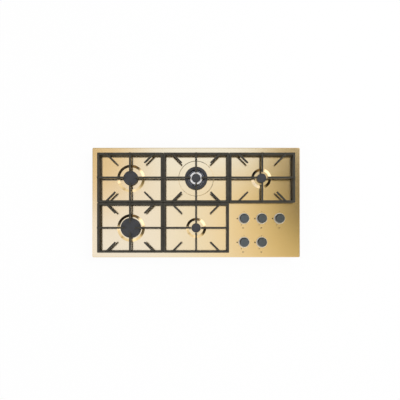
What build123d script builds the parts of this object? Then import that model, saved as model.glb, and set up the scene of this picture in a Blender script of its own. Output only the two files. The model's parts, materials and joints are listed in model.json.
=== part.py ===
from build123d import *
import os
from collections import namedtuple
from math import pi, sqrt

os.makedirs("parts", exist_ok=True)

# A built-in gas cooktop with five burners, in millimetres. +X is the cook's right, +Y the back,
# +Z up. The origin is the middle of the casing's underside.

# ---------------------------------------------------------------- top plate and worktop
plate_width = 966.0
plate_depth = 510.0
plate_corner_radius = 6.0
plate_edge_radius = 2.5
plate_sheet = 1.0
plate_rise = 8.0             # worktop to the plate's top face
rim_clearance = 0.5          # rim's lower edge to the worktop
stud_radius = 2.0
burner_stud_length = 9.0
casing_stud_length = 6.5     # ends above the worktop
stud_hole_clearance = 0.3
nut_height = 3.2
nut_across_flats = 7.0
thread_clearance = 0.05

seal_width = 10.0
seal_inset = 2.0             # seal to the rim's inner face, past its bend

# ---------------------------------------------------------------- casing below the worktop
casing_inset = 25.0          # casing's sides from the plate's edges
casing_depth = 58.0
casing_corner_radius = 8.0
casing_sheet = 0.8
casing_flange = 10.0
bay_width = 36.0             # connection bay, a step in the right rear corner
bay_length = 58.0
bay_height = 20.0
vent_length = 46.0
vent_width = 4.0
vent_pitch = 12.0
vents_in_row = 9

# ---------------------------------------------------------------- clamps that hold it down
clamp_inset = 208.0          # from the casing's left or right side
clamp_width = 18.0
clamp_sheet = 2.0
clamp_reach = 15.0
clamp_height = 26.0
clamp_bottom = 8.0
clamp_screw_reach = 9.0      # screw's axis from the casing's side
clamp_screw_radius = 2.5
clamp_screw_length = 24.0
clamp_screw_head_radius = 4.5
clamp_screw_head = 3.0
clamp_screw_below = 3.0      # screw's head above the casing's underside
clamp_screw_slot = 1.0
clamp_screw_slot_depth = 1.2
clamp_pad = 1.5
wall_screw_rise = 18.0       # above the bracket's lower edge
wall_screw_head_radius = 3.6
wall_screw_head = 2.4
wall_screw_grip = 4.0        # past the sheets that it holds

# ---------------------------------------------------------------- layout of the burners
burner_columns = 3
burner_rows = 2
side_margin = 29.7           # plate's edge to the nearest pan support
back_margin = 29.4
front_margin = 22.2
grate_gap = 1.2              # between neighbouring pan supports

semi_cap_radius = 33.5
rapid_cap_radius = 46.0
small_cap_radius = 21.5
wok_ring_cap_radius = 52.5
wok_ring_cap_bore = 39.0
wok_centre_cap_radius = 19.5

large_collar_radius = 64.5
small_collar_radius = 47.0
wok_collar_radius = 82.0
collar_width = 12.5
collar_rise = 3.0
collar_bend = 3.0            # radius of the pressing's two bends
wok_collar_width = 1.6
wok_collar_rise = 1.0
wok_collar_bend = 2.0
collar_skirt = 3.0           # flat sheet pressed with the ring, outside it

# ---------------------------------------------------------------- burner pieces
cap_overhang = 2.5
head_overhang = 6.0          # burner head past the cup's outer wall
seat_height = 5.0            # head's seat above the plate
cup_wall = 2.5
cup_floor = 3.0
cup_flange = 10.0
cup_flange_thickness = 3.0
plate_hole_clearance = 0.5
port_depth = 30.0            # gas ports below the plate's top face
channel_radius = 6.0
channel_bore = 2.5
channel_reach = 10.0         # port face past the cup's outer wall
boss_radius = 9.0
boss_depth = 9.0
burner_studs = 3
burner_stud_radius_offset = 6.0
first_stud_angle = 90.0

head_base = 3.0
crown_height = 11.0
crown_wall = 4.0
register_depth = 4.0
register_wall = 2.0
register_clearance = 0.4
venturi_bore = 5.0
venturi_wall = 2.0
venturi_drop = 16.0
flame_port_width = 1.8
flame_port_height = 5.0
flame_port_pitch = 5.6
port_cut_margin = 1.0        # a port's cut past the wall's two faces
head_edge = 0.8

cap_thickness = 5.0
cap_edge = 1.8
cap_rib_depth = 2.0
cap_rib_wall = 2.0

wok_outer_wall = 3.0
wok_ring_inner_wall = 2.5
wok_ring_bore = 41.5
wok_tower_radius = 29.0
wok_ledge_height = 9.0
wok_tower_height = 13.0
wok_inner_crown_radius = 18.0
wok_inner_crown_wall = 2.5
wok_spoke_width = 7.0
wok_spokes = 4
wok_slot_margin = 1.5
wok_inner_port_height = 2.5

electrode_angle = 30.0
thermocouple_angle = 150.0
probe_inset = 0.5            # probe axis inside the head's edge
probe_hole_radius = 3.1
probe_boss_wall = 1.8
electrode_radius = 2.6
electrode_pin_radius = 0.9
electrode_top = 12.5         # above the plate
electrode_pin_top = 14.5
electrode_depth = 20.0       # below the plate's top face
electrode_terminal = 6.0
thermocouple_radius = 1.9
thermocouple_collar_radius = 2.8
thermocouple_collar = 8.0
thermocouple_collar_seat = 2.0
thermocouple_tip_edge = 1.1
thermocouple_top = 13.5
thermocouple_depth = 22.0

injector_flats = 12.0
injector_hex = 4.0
injector_radius = 4.0
injector_height = 8.0
injector_thread = 4.0
injector_jet = 0.6

# ---------------------------------------------------------------- pan supports
grate_bar = 10.5
grate_corner_radius = 3.0
grate_edge = 1.5
frame_top = 40.0             # heights above the plate
frame_bottom = 6.0
arm_top = 45.0
arm_bottom = 33.0
arm_width = 8.0
arm_edge = 1.6
arm_tip_radius = 23.0        # arm tip from the burner's axis
arm_tip_slope = 5.0
finger_tip_slope = 11.0
finger_tip = 66.0            # along each side, from the burner's axis
grate_leg_radius = 5.5
grate_leg_inset = 7.0
grate_leg_top = 24.0
foot_height = 3.0
foot_radius = 4.5
foot_stem_radius = 2.5
foot_stem = 6.0

# ---------------------------------------------------------------- knobs and taps
knob_pitch_x = 82.5
knob_row_saving = 119.3      # knob rows stand closer than the burner rows
knob_side_margin = 95.0      # plate's right edge to the last knob's axis
knob_front_margin = 70.0     # plate's front edge to the front knobs' axes
knob_radius = 22.0
knob_face_radius = 18.5
knob_skirt_height = 8.0
knob_shoulder_radius = 21.1
knob_shoulder_height = 17.0
knob_height = 20.0
knob_wall = 2.5
knob_roof = 5.0
knob_hub_radius = 7.5
knob_travel = 4.0            # how far it is pushed in to turn
knob_press_clearance = 0.8   # pressed knob above its bezel
knob_edge = 0.8
knob_mark_width = 1.4
knob_mark_depth = 0.6
knob_mark_length = 8.0
knob_mark_margin = 1.2

bezel_radius = 26.0
bezel_height = 1.2
bezel_edge = 0.7
spindle_hole_clearance = 2.0

spindle_radius = 4.0
spindle_flat = 1.5
spindle_flat_length = 12.0
spindle_top = 20.0           # above the plate
shoulder_clearance = 0.5     # pressed spindle's shoulder above the plug
spindle_fit = 0.05
tang_thickness = 3.0
tang_width = 7.2
tang_length = 12.5
tang_clearance = 0.1

plug_top_depth = 14.0        # below the plate's top face
plug_length = 20.0
plug_top_radius = 8.5
plug_foot_radius = 7.0
plug_clearance = 0.06
plug_slot_clearance = 1.0    # pressed tang above the slot's floor
plug_end_clearance = 0.5     # plug's foot above the bore's floor
plug_port_radius = 2.4

tap_top_depth = 12.0
tap_radius = 12.5
tap_floor = 4.5
tap_bore_radius = 9.2
tap_cover_thickness = 2.0
tap_cover_hole_clearance = 0.15
tap_lug_offset = 14.5
tap_lug_radius = 4.0
tap_lug_length = 10.0
tap_screw_radius = 1.5
tap_screw_head_radius = 2.75
tap_screw_head = 1.8
tap_screw_length = 8.0
screw_slot = 0.6
screw_slot_depth = 0.9
tap_to_rail = 24.0           # tap axis to rail axis
tap_outlet_reach = 16.0
tap_outlet_radius = 6.5
saddle_width = 16.0
saddle_height = 30.0
saddle_screw_spacing = 22.0
magnet_radius = 7.0
magnet_reach = 34.0
magnet_rise = 3.0            # magnet valve's axis above the gas ports
magnet_terminal = 4.0
magnet_terminal_radius = 3.5

# ---------------------------------------------------------------- gas rail, inlet and tubes
rail_radius = 8.0
rail_wall = 1.2
rail_end_margin = 20.0       # rail's closed end past the first tap
rail_leg_inset = 18.0        # leg's axis from the casing's right side
clamp_block_depth = 12.0
rail_bracket_width = 20.0
rail_bracket_sheet = 1.5

inlet_y_inset = 25.0         # inlet's axis from the casing's rear side
inlet_thread_radius = 10.48
inlet_bore = 7.5
inlet_block = 26.0
inlet_block_height = 28.0
inlet_block_chamfer = 2.0
inlet_end = 2.0              # thread's end above the casing's underside
inlet_groove = 1.5           # run-out groove where the thread meets the locknut
inlet_groove_depth = 1.1
inlet_locknut = 4.0
inlet_locknut_flats = 27.0
inlet_hole_clearance = 0.5

tube_radius = 4.0
tube_wall = 0.8
tube_bend = 11.0
tube_nut_flats = 13.0
tube_nut_length = 9.0
back_corridor = 20.0         # wok tube behind the middle between the rows
mid_corridor = 15.0          # back left tube in front of that middle
front_corridor = 9.0         # tubes along the front, from the casing's side
crossing_drop = 16.0         # lower of the two tubes along the front
crossing_start = 34.0        # where it turns down, from the second tap's axis

# ---------------------------------------------------------------- ignition and mains
generator_gap = 10.0         # to the casing's rear side
generator_length = 84.0
generator_width = 40.0
generator_height = 22.0
generator_corner_radius = 3.0
generator_tab = 10.0
generator_tab_width = 16.0
generator_tab_thickness = 2.0
generator_outlets = 5
generator_outlet_radius = 3.0
generator_outlet_length = 8.0
generator_outlet_pitch = 14.0

terminal_length = 44.0
terminal_width = 22.0
terminal_height = 17.0
terminal_corner_radius = 1.5
terminal_poles = 3
terminal_pole_pitch = 12.0
terminal_pole_radius = 3.2
terminal_pole_depth = 5.0
gland_y_inset = 9.0          # cable outlet from the bay's front wall
gland_z = 10.0
gland_radius = 6.5
gland_bore = 4.0
gland_reach = 6.0
gland_bore_depth = 12.8       # past the bay's side wall, into the terminal box

# ---------------------------------------------------------------- derived levels and places
grate_width = (plate_width - 2 * side_margin - (burner_columns - 1) * grate_gap) / burner_columns
grate_depth = (plate_depth - back_margin - front_margin - (burner_rows - 1) * grate_gap) / burner_rows
column_pitch = grate_width + grate_gap
row_pitch = grate_depth + grate_gap
back_row_y = (plate_depth - grate_depth) / 2 - back_margin
front_row_y = back_row_y - row_pitch
rows_middle_y = (back_row_y + front_row_y) / 2
knob_last_x = plate_width / 2 - knob_side_margin
knob_middle_x = knob_last_x - knob_pitch_x
knob_first_x = knob_middle_x - knob_pitch_x
knob_front_y = knob_front_margin - plate_depth / 2
knob_back_y = knob_front_y + row_pitch - knob_row_saving
casing_width = plate_width - 2 * casing_inset
casing_length = plate_depth - 2 * casing_inset
clamp_x = casing_width / 2 - clamp_inset
back_corridor_y = rows_middle_y + back_corridor
mid_corridor_y = rows_middle_y - mid_corridor
front_corridor_y = front_corridor - casing_length / 2
crossing_start_x = knob_middle_x - crossing_start
generator_y = (casing_length - generator_width) / 2 - generator_gap
worktop_z = casing_depth
plate_top = worktop_z + plate_rise
plate_under = plate_top - plate_sheet
port_z = plate_top - port_depth
seat_z = plate_top + seat_height
crown_z = seat_z + crown_height
cup_floor_top = port_z + channel_radius
bay_x = casing_width / 2 - bay_width
bay_y = casing_length / 2 - bay_length
rail_leg_x = casing_width / 2 - rail_leg_inset
inlet_y = casing_length / 2 - inlet_y_inset
tap_top = plate_top - tap_top_depth
plug_top = plate_top - plug_top_depth
plug_foot = plug_top - plug_length
tap_foot = plug_foot - tap_floor
knob_low = plate_top + bezel_height + knob_press_clearance + knob_travel
spindle_shoulder = plug_top + shoulder_clearance + knob_travel
tang_foot = spindle_shoulder - tang_length
plug_slot_floor = tang_foot - knob_travel - plug_slot_clearance
wall_screw_z = clamp_bottom + wall_screw_rise

Burner = namedtuple("Burner", "name x y cap collar collar_width rise bend port_angle")
Tap = namedtuple("Tap", "name x y side")

burners = (
    Burner("back_left", -column_pitch, back_row_y, semi_cap_radius,
           large_collar_radius, collar_width, collar_rise, collar_bend, -90),
    Burner("front_left", -column_pitch, front_row_y, rapid_cap_radius,
           large_collar_radius, collar_width, collar_rise, collar_bend, -90),
    Burner("back_centre", 0.0, back_row_y, wok_ring_cap_radius,
           wok_collar_radius, wok_collar_width, wok_collar_rise, wok_collar_bend, -90),
    Burner("front_centre", 0.0, front_row_y, small_cap_radius,
           small_collar_radius, collar_width, collar_rise, collar_bend, -90),
    Burner("back_right", column_pitch, back_row_y, small_cap_radius,
           small_collar_radius, collar_width, collar_rise, collar_bend, 0),
)
back_left, front_left, back_centre, front_centre, back_right = burners

# side is +1 where the tap's outlet looks to the back, -1 where it looks to the front
taps = (
    Tap("back_left", knob_first_x, knob_back_y, 1),
    Tap("back_centre", knob_middle_x, knob_back_y, 1),
    Tap("back_right", knob_last_x, knob_back_y, 1),
    Tap("front_left", knob_first_x, knob_front_y, -1),
    Tap("front_centre", knob_middle_x, knob_front_y, -1),
)


# ---------------------------------------------------------------- shared shapes
def rod(radius, low, high):
    """A vertical round bar on the Z axis."""
    return Pos(0, 0, low) * extrude(Circle(radius), high - low)


def lying_rod(radius, start, end):
    """A round bar along X on the X axis."""
    return Pos(start, 0, 0) * extrude(Plane.YZ * Circle(radius), end - start)


def block(size_x, size_y, low, high):
    """A box centred on the Z axis, between two heights."""
    return Pos(0, 0, (low + high) / 2) * Box(size_x, size_y, high - low)


def hexagon(flats, low, high):
    """A vertical hexagonal bar, sized across its flats."""
    return Pos(0, 0, low) * extrude(RegularPolygon(flats / 2, 6, major_radius=False), high - low)


def around(count, first_angle=0.0):
    """Even turns about the Z axis."""
    return [Rot(0, 0, first_angle + 360.0 * turn / count) for turn in range(count)]


def save(name, *solids):
    """Writes one node, which may be a group of separate solids."""
    loose = [solid for shape in solids for solid in shape.solids()]
    shape = loose[0] if len(loose) == 1 else Compound(children=loose)
    export_step(shape, "parts/" + name + ".step")


# ---------------------------------------------------------------- sizes that several pieces share
def head_radius(burner):
    return burner.cap - cap_overhang


def cup_radius(burner):
    return head_radius(burner) - head_overhang


def burner_stud_places(burner):
    radius = cup_radius(burner) + burner_stud_radius_offset
    return [turn * Pos(radius, 0, 0) for turn in around(burner_studs, first_stud_angle)]


def casing_stud_places():
    side_x = (casing_width + casing_flange) / 2
    side_y = (casing_length + casing_flange) / 2
    places = [Pos(step * column_pitch, side * side_y, 0) for side in (-1, 1) for step in (-1, 0, 1)]
    return places + [Pos(side * side_x, 0, 0) for side in (-1, 1)]


def probe_place(burner, angle):
    return Rot(0, 0, angle) * Pos(head_radius(burner) - probe_inset, 0, 0)


def port_face(burner):
    """How far the gas port's face lies from the burner's axis."""
    return cup_radius(burner) + channel_reach


# ---------------------------------------------------------------- top plate
def collar(burner):
    """The pressed ring round a burner, a slope that lifts the sheet to a flat dish."""
    skirt = burner.collar + collar_skirt
    hole = cup_radius(burner) + plate_hole_clearance
    under = FilletPolyline(
        (skirt, plate_under),
        (burner.collar, plate_under),
        (burner.collar - burner.collar_width, plate_under + burner.rise),
        (hole, plate_under + burner.rise),
        radius=burner.bend,
    )
    over = Pos(0, plate_sheet) * under
    ends = [Line(under @ 0, over @ 0), Line(under @ 1, over @ 1)]
    section = make_face([*under.edges(), *over.edges(), *ends])
    dish = revolve(Plane.XZ * section, Axis.Z)
    for angle in (electrode_angle, thermocouple_angle):
        hole_cut = rod(probe_hole_radius, plate_under, plate_top + burner.rise)
        dish -= probe_place(burner, angle) * hole_cut
    return dish


def hob_plate():
    height = plate_rise - rim_clearance
    outer = extrude(RectangleRounded(plate_width, plate_depth, plate_corner_radius), height)
    outer = fillet(outer.edges().group_by(Axis.Z)[-1], plate_edge_radius)
    inner = extrude(
        RectangleRounded(
            plate_width - 2 * plate_sheet, plate_depth - 2 * plate_sheet, plate_corner_radius - plate_sheet
        ),
        height - plate_sheet,
    )
    inner = fillet(inner.edges().group_by(Axis.Z)[-1], plate_edge_radius - plate_sheet)
    plate = Pos(0, 0, worktop_z + rim_clearance) * (outer - inner)
    for burner in burners:
        place = Pos(burner.x, burner.y, 0)
        plate -= place * rod(burner.collar + collar_skirt, worktop_z, plate_top)
        plate += place * collar(burner)
        for stud in burner_stud_places(burner):
            top = plate_under + burner.rise
            plate += place * stud * rod(stud_radius, top - burner_stud_length, top)
    for tap in taps:
        plate -= Pos(tap.x, tap.y, 0) * rod(spindle_radius + spindle_hole_clearance, worktop_z, plate_top)
    for stud in casing_stud_places():
        plate += stud * rod(stud_radius, plate_under - casing_stud_length, plate_under)
    return plate


def worktop_seal():
    inset = plate_sheet + seal_inset
    outer_x = plate_width - 2 * inset
    outer_y = plate_depth - 2 * inset
    strip = RectangleRounded(outer_x, outer_y, plate_corner_radius - inset)
    strip -= Rectangle(outer_x - 2 * seal_width, outer_y - 2 * seal_width)
    return Pos(0, 0, worktop_z) * extrude(strip, plate_under - worktop_z)


def stud_nut():
    nut = hexagon(nut_across_flats, -nut_height, 0)
    return nut - rod(stud_radius + thread_clearance, -nut_height, 0)


def stud_nuts():
    nuts = []
    for burner in burners:
        level = plate_under + burner.rise - cup_flange_thickness
        for stud in burner_stud_places(burner):
            nuts.append(Pos(burner.x, burner.y, level) * stud * stud_nut())
    for stud in casing_stud_places():
        nuts.append(Pos(0, 0, plate_under - casing_sheet) * stud * stud_nut())
    return nuts


# ---------------------------------------------------------------- casing and clamps
def bay_block(grow):
    """The step in the casing's rear right corner, grown by a sheet where it is an inner face."""
    size_x = bay_width + grow
    size_y = bay_length + grow
    place = Pos(casing_width / 2 - size_x / 2, casing_length / 2 - size_y / 2, 0)
    return place * block(size_x, size_y, 0, bay_height + grow)


def clamp_places():
    """Where the clamps stand, each with its back to the casing's front or rear side."""
    edge = casing_length / 2
    rear = [Pos(side * clamp_x, edge, 0) for side in (-1, 1)]
    front = [Pos(side * clamp_x, -edge, 0) * Rot(0, 0, 180) for side in (-1, 1)]
    return rear + front


def bottom_casing():
    inside = 2 * casing_sheet
    tray = extrude(RectangleRounded(casing_width, casing_length, casing_corner_radius), plate_under)
    tray -= bay_block(0)
    hollow = extrude(
        RectangleRounded(casing_width - inside, casing_length - inside, casing_corner_radius - casing_sheet),
        plate_under - casing_sheet,
    )
    tray -= Pos(0, 0, casing_sheet) * hollow - bay_block(casing_sheet)
    flange = RectangleRounded(
        casing_width + 2 * casing_flange,
        casing_length + 2 * casing_flange,
        casing_corner_radius + casing_flange,
    )
    flange -= RectangleRounded(casing_width, casing_length, casing_corner_radius)
    tray += Pos(0, 0, plate_under - casing_sheet) * extrude(flange, casing_sheet)
    for stud in casing_stud_places():
        tray -= stud * rod(stud_radius + stud_hole_clearance, plate_under - casing_sheet, plate_under)
    for side in (-1, 1):
        for turn in range(vents_in_row):
            shift = (turn - (vents_in_row - 1) / 2) * vent_pitch
            place = Pos(side * column_pitch / 2 + shift, rows_middle_y, 0) * Rot(0, 0, 90)
            tray -= place * extrude(SlotOverall(vent_length, vent_width), casing_sheet)
    for place in clamp_places():
        hole = place * Pos(0, 0, wall_screw_z) * Rot(90, 0, 0)
        tray -= hole * rod(stud_radius + stud_hole_clearance, 0, casing_sheet)
    inlet = Pos(rail_leg_x, inlet_y, 0)
    tray -= inlet * rod(inlet_thread_radius + inlet_hole_clearance, bay_height, bay_height + casing_sheet)
    tray -= gland_place() * lying_rod(gland_radius + stud_hole_clearance, -casing_sheet, 0)
    return tray


def clamp_bracket():
    """An L of sheet with its back on the casing and its arm under the worktop."""
    back = Pos(0, clamp_sheet / 2, 0) * block(
        clamp_width, clamp_sheet, clamp_bottom, clamp_bottom + clamp_height
    )
    arm = Pos(0, clamp_reach / 2, 0) * block(
        clamp_width, clamp_reach, clamp_bottom, clamp_bottom + clamp_sheet
    )
    bracket = back + arm
    bracket -= Pos(0, clamp_screw_reach, 0) * rod(
        clamp_screw_radius + thread_clearance, clamp_bottom, clamp_bottom + clamp_sheet
    )
    hole = rod(stud_radius + thread_clearance, 0, clamp_sheet)
    return bracket - Pos(0, 0, wall_screw_z) * Rot(-90, 0, 0) * hole


def clamp_screw():
    top = clamp_screw_below + clamp_screw_length
    screw = rod(clamp_screw_radius, clamp_screw_below, top)
    screw += rod(clamp_screw_head_radius, clamp_screw_below, clamp_screw_below + clamp_screw_head)
    screw += rod(clamp_screw_head_radius, top, top + clamp_pad)
    slot_top = clamp_screw_below + clamp_screw_slot_depth
    slot = block(2 * clamp_screw_head_radius, clamp_screw_slot, clamp_screw_below, slot_top)
    return Pos(0, clamp_screw_reach, 0) * (screw - slot)


def pan_screw(radius, cap_radius, head, length):
    """A screw whose head is above Z 0 and whose shank is below it."""
    screw = rod(radius, -length, 0) + rod(cap_radius, 0, head)
    return screw - block(2 * cap_radius, screw_slot, head - screw_slot_depth, head)


def wall_screw():
    """The screw that holds a clamp to the casing, its head outside."""
    length = clamp_sheet + casing_sheet + wall_screw_grip
    screw = pan_screw(stud_radius, wall_screw_head_radius, wall_screw_head, length)
    return Pos(0, clamp_sheet, wall_screw_z) * Rot(-90, 0, 0) * screw


# ---------------------------------------------------------------- burners
def burner_cup(burner):
    """The cast cup that hangs below the plate, mixes gas with air and carries the head."""
    radius = cup_radius(burner)
    flange_top = plate_under + burner.rise
    cup = rod(radius, cup_floor_top - cup_floor, seat_z)
    cup += rod(radius + cup_flange, flange_top - cup_flange_thickness, flange_top)
    cup += rod(boss_radius, port_z - boss_depth, cup_floor_top)
    cup -= rod(radius - cup_wall, cup_floor_top, seat_z)
    channel = Pos(0, 0, port_z) * lying_rod(channel_radius, 0, port_face(burner))
    cup += Rot(0, 0, burner.port_angle) * channel
    bore = Pos(0, 0, port_z) * lying_rod(channel_bore, 0, port_face(burner))
    cup -= Rot(0, 0, burner.port_angle) * bore
    cup -= rod(injector_radius + thread_clearance, cup_floor_top - injector_thread, cup_floor_top)
    cup -= rod(channel_bore, port_z, cup_floor_top)
    for angle in (electrode_angle, thermocouple_angle):
        hole = rod(probe_hole_radius, flange_top - cup_flange_thickness, flange_top)
        cup -= probe_place(burner, angle) * hole
    for stud in burner_stud_places(burner):
        hole = rod(stud_radius + stud_hole_clearance, flange_top - cup_flange_thickness, flange_top)
        cup -= stud * hole
    return cup


def injector():
    base = cup_floor_top
    jet = hexagon(injector_flats, base, base + injector_hex)
    jet += rod(injector_radius, base - injector_thread, base)
    jet += rod(injector_radius, base + injector_hex, base + injector_height)
    jet -= rod(channel_bore, base - injector_thread, base + injector_hex)
    jet -= rod(injector_jet, base + injector_hex, base + injector_height)
    return jet


def flame_ports(outer, inner, top):
    """Radial slots through a crown's wall, open at its top, clear of the two probes."""
    count = int(2 * pi * outer / flame_port_pitch)
    length = outer - inner + 2 * port_cut_margin
    slot = Pos((outer + inner) / 2, 0, 0) * block(
        length, flame_port_width, top - flame_port_height, top
    )
    keep_clear = 360.0 * (probe_hole_radius + probe_boss_wall + flame_port_width) / (2 * pi * outer)
    ports = []
    for turn in range(count):
        angle = 360.0 * turn / count
        if all(abs(angle - probe) > keep_clear for probe in (electrode_angle, thermocouple_angle)):
            ports.append(Rot(0, 0, angle) * slot)
    return ports


def register_ring(burner):
    """The ring under a head that drops into the cup's bore."""
    outer = cup_radius(burner) - cup_wall - register_clearance
    return rod(outer, seat_z - register_depth, seat_z) - rod(
        outer - register_wall, seat_z - register_depth, seat_z
    )


def with_probes(burner, head, top):
    """The head with a walled notch for each probe."""
    for angle in (electrode_angle, thermocouple_angle):
        place = probe_place(burner, angle)
        boss = place * rod(probe_hole_radius + probe_boss_wall, seat_z, top)
        head += boss & rod(head_radius(burner), seat_z, top)
        head -= place * rod(probe_hole_radius, seat_z, top)
    return head


def burner_head(burner):
    """A round burner head: base, venturi, crown wall and flame ports."""
    radius = head_radius(burner)
    head = rod(radius, seat_z, crown_z)
    head = chamfer(head.edges().group_by(Axis.Z)[0], head_edge)
    head -= rod(radius - crown_wall, seat_z + head_base, crown_z)
    head += register_ring(burner)
    head += rod(venturi_bore + venturi_wall, seat_z - venturi_drop, seat_z + head_base)
    head -= rod(venturi_bore, seat_z - venturi_drop, seat_z + head_base)
    head = with_probes(burner, head, crown_z)
    for port in flame_ports(radius, radius - crown_wall, crown_z):
        head -= port
    return head


def probe_relief(burner, rib):
    """A cap's rib, cut clear of the head's two probe bosses."""
    clear = probe_hole_radius + probe_boss_wall + register_clearance
    for angle in (electrode_angle, thermocouple_angle):
        rib -= probe_place(burner, angle) * rod(clear, crown_z - cap_rib_depth, crown_z)
    return rib


def cap_lid(radius, seat):
    """A lid with a rounded upper edge."""
    lid = rod(radius, seat, seat + cap_thickness)
    lid = fillet(lid.edges().group_by(Axis.Z)[-1], cap_edge)
    return chamfer(lid.edges().group_by(Axis.Z)[0], head_edge)


def cap_rib(chamber_radius, seat):
    """The ring under a lid that centres it in the head's chamber."""
    outer = chamber_radius - register_clearance
    rib = rod(outer, seat - cap_rib_depth, seat)
    return rib - rod(outer - cap_rib_wall, seat - cap_rib_depth, seat)


def burner_cap(burner):
    rib = cap_rib(head_radius(burner) - crown_wall, crown_z)
    return cap_lid(burner.cap, crown_z) + probe_relief(burner, rib)


def wok_centre_cap():
    seat = seat_z + wok_tower_height
    return cap_lid(wok_centre_cap_radius, seat) + cap_rib(wok_inner_crown_radius - wok_inner_crown_wall, seat)


def wok_crown():
    """The big burner's casting: an outer flame ring joined by spokes to a central tower."""
    radius = head_radius(back_centre)
    ring_outer = wok_ring_bore + wok_ring_inner_wall
    ring_inner = radius - wok_outer_wall
    ledge = seat_z + wok_ledge_height
    tower_top = seat_z + wok_tower_height
    chamber = wok_inner_crown_radius - wok_inner_crown_wall
    crown = rod(radius, seat_z, crown_z)
    crown = chamfer(crown.edges().group_by(Axis.Z)[0], head_edge)
    crown -= rod(ring_inner, seat_z + head_base, crown_z) - rod(ring_outer, seat_z, crown_z)
    crown -= rod(wok_ring_bore, seat_z + head_base, crown_z)
    slot = rod(wok_ring_bore - wok_slot_margin, seat_z, seat_z + head_base)
    slot -= rod(wok_tower_radius + wok_slot_margin, seat_z, seat_z + head_base)
    for turn in around(wok_spokes):
        slot -= turn * Pos(wok_ring_bore / 2, 0, 0) * block(
            wok_ring_bore, wok_spoke_width, seat_z, seat_z + head_base
        )
    crown -= slot
    crown += rod(wok_tower_radius, seat_z, ledge)
    crown += rod(wok_inner_crown_radius, ledge, tower_top)
    crown -= rod(chamber, seat_z + head_base, tower_top)
    crown += register_ring(back_centre)
    crown += rod(venturi_bore + venturi_wall, seat_z - venturi_drop, seat_z + head_base)
    crown -= rod(venturi_bore, seat_z - venturi_drop, seat_z + head_base)
    crown = with_probes(back_centre, crown, crown_z)
    for port in flame_ports(radius, ring_inner, crown_z):
        crown -= port
    for turn in around(int(2 * pi * wok_inner_crown_radius / flame_port_pitch)):
        length = wok_inner_crown_wall + 2 * port_cut_margin
        middle = wok_inner_crown_radius - wok_inner_crown_wall / 2
        crown -= turn * Pos(middle, 0, 0) * block(
            length, flame_port_width, tower_top - wok_inner_port_height, tower_top
        )
    return crown


def wok_ring_cap():
    """The flat ring lid over the big burner's outer flame ring."""
    ring = rod(wok_ring_cap_radius, crown_z, crown_z + cap_thickness)
    ring -= rod(wok_ring_cap_bore, crown_z, crown_z + cap_thickness)
    ring = fillet(ring.edges().group_by(Axis.Z)[-1], cap_edge)
    rib_inner = wok_ring_bore + wok_ring_inner_wall + register_clearance
    rib_outer = head_radius(back_centre) - wok_outer_wall - register_clearance
    rib = rod(rib_outer, crown_z - cap_rib_depth, crown_z) - rod(
        rib_inner, crown_z - cap_rib_depth, crown_z
    )
    return ring + probe_relief(back_centre, rib)


def ignition_electrode(burner):
    """A ceramic rod with a metal pin, beside the head and under the cap's edge."""
    low = plate_top - electrode_depth
    rod_shape = rod(electrode_radius, low, plate_top + electrode_top)
    rod_shape += rod(electrode_pin_radius, plate_top + electrode_top, plate_top + electrode_pin_top)
    rod_shape += rod(electrode_pin_radius, low - electrode_terminal, low)
    return probe_place(burner, electrode_angle) * rod_shape


def thermocouple(burner):
    """The flame sensor's probe, with a collar in the cup's flange."""
    low = plate_top - thermocouple_depth
    flange_low = plate_under + burner.rise - cup_flange_thickness
    probe = rod(thermocouple_radius, low, plate_top + thermocouple_top)
    probe = fillet(probe.edges().group_by(Axis.Z)[-1], thermocouple_tip_edge)
    collar_top = flange_low + thermocouple_collar_seat
    probe += rod(thermocouple_collar_radius, flange_low - thermocouple_collar, collar_top)
    return probe_place(burner, thermocouple_angle) * probe


# ---------------------------------------------------------------- pan supports
def bar_section(width, low, high, edge):
    """A bar's cross section in the YZ plane with two rounded upper edges."""
    section = Pos(0, (low + high) / 2) * Rectangle(width, high - low)
    return fillet(section.vertices().group_by(Axis.Y)[-1], edge)


def grate_bar_from(start, end, slope):
    """A bar along +X between two distances from the burner's axis, its tip sloped back below."""
    low = plate_top + arm_bottom
    high = plate_top + arm_top
    section = Plane.YZ * bar_section(arm_width, low, high, arm_edge)
    bar = Pos(start, 0, 0) * extrude(section, end - start)
    wedge = Plane.XZ * make_face(
        Polyline(
            (start, low),
            (start + slope, low),
            (start, high - arm_edge),
            close=True,
        )
    )
    return bar - extrude(wedge, arm_width, both=True)


def grate_arm(reach):
    """An arm from beside the cap out to the frame's outer face."""
    return grate_bar_from(arm_tip_radius, reach, arm_tip_slope)


def grate_finger():
    """A short finger on the diagonal, from the frame towards the burner."""
    reach = (grate_depth - grate_bar) / 2
    return grate_bar_from(finger_tip * sqrt(2), reach * sqrt(2), finger_tip_slope)


def grate_leg_places():
    x = grate_width / 2 - grate_leg_inset
    y = grate_depth / 2 - grate_leg_inset
    return [Pos(side_x * x, side_y * y, 0) for side_x in (-1, 1) for side_y in (-1, 1)]


def grate():
    """One cast pan support: a deep frame, four arms, four fingers and four legs."""
    outline = RectangleRounded(grate_width, grate_depth, grate_corner_radius)
    window = Rectangle(grate_width - 2 * grate_bar, grate_depth - 2 * grate_bar)
    low = plate_top + frame_bottom
    high = plate_top + frame_top
    frame = Pos(0, 0, low) * extrude(outline - window, high - low)
    frame = fillet(frame.edges().group_by(Axis.Z)[-1], grate_edge)
    for turn in around(2):
        frame += turn * grate_arm(grate_width / 2)
    for turn in around(2, 90):
        frame += turn * grate_arm(grate_depth / 2)
    for turn in around(4, 45):
        frame += turn * grate_finger()
    envelope = extrude(outline, plate_top + arm_top)
    for leg in grate_leg_places():
        frame += (leg * rod(grate_leg_radius, plate_top + foot_height, plate_top + grate_leg_top)) & envelope
    for leg in grate_leg_places():
        frame -= leg * rod(foot_stem_radius, plate_top + foot_height, plate_top + foot_height + foot_stem)
    return frame


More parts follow.
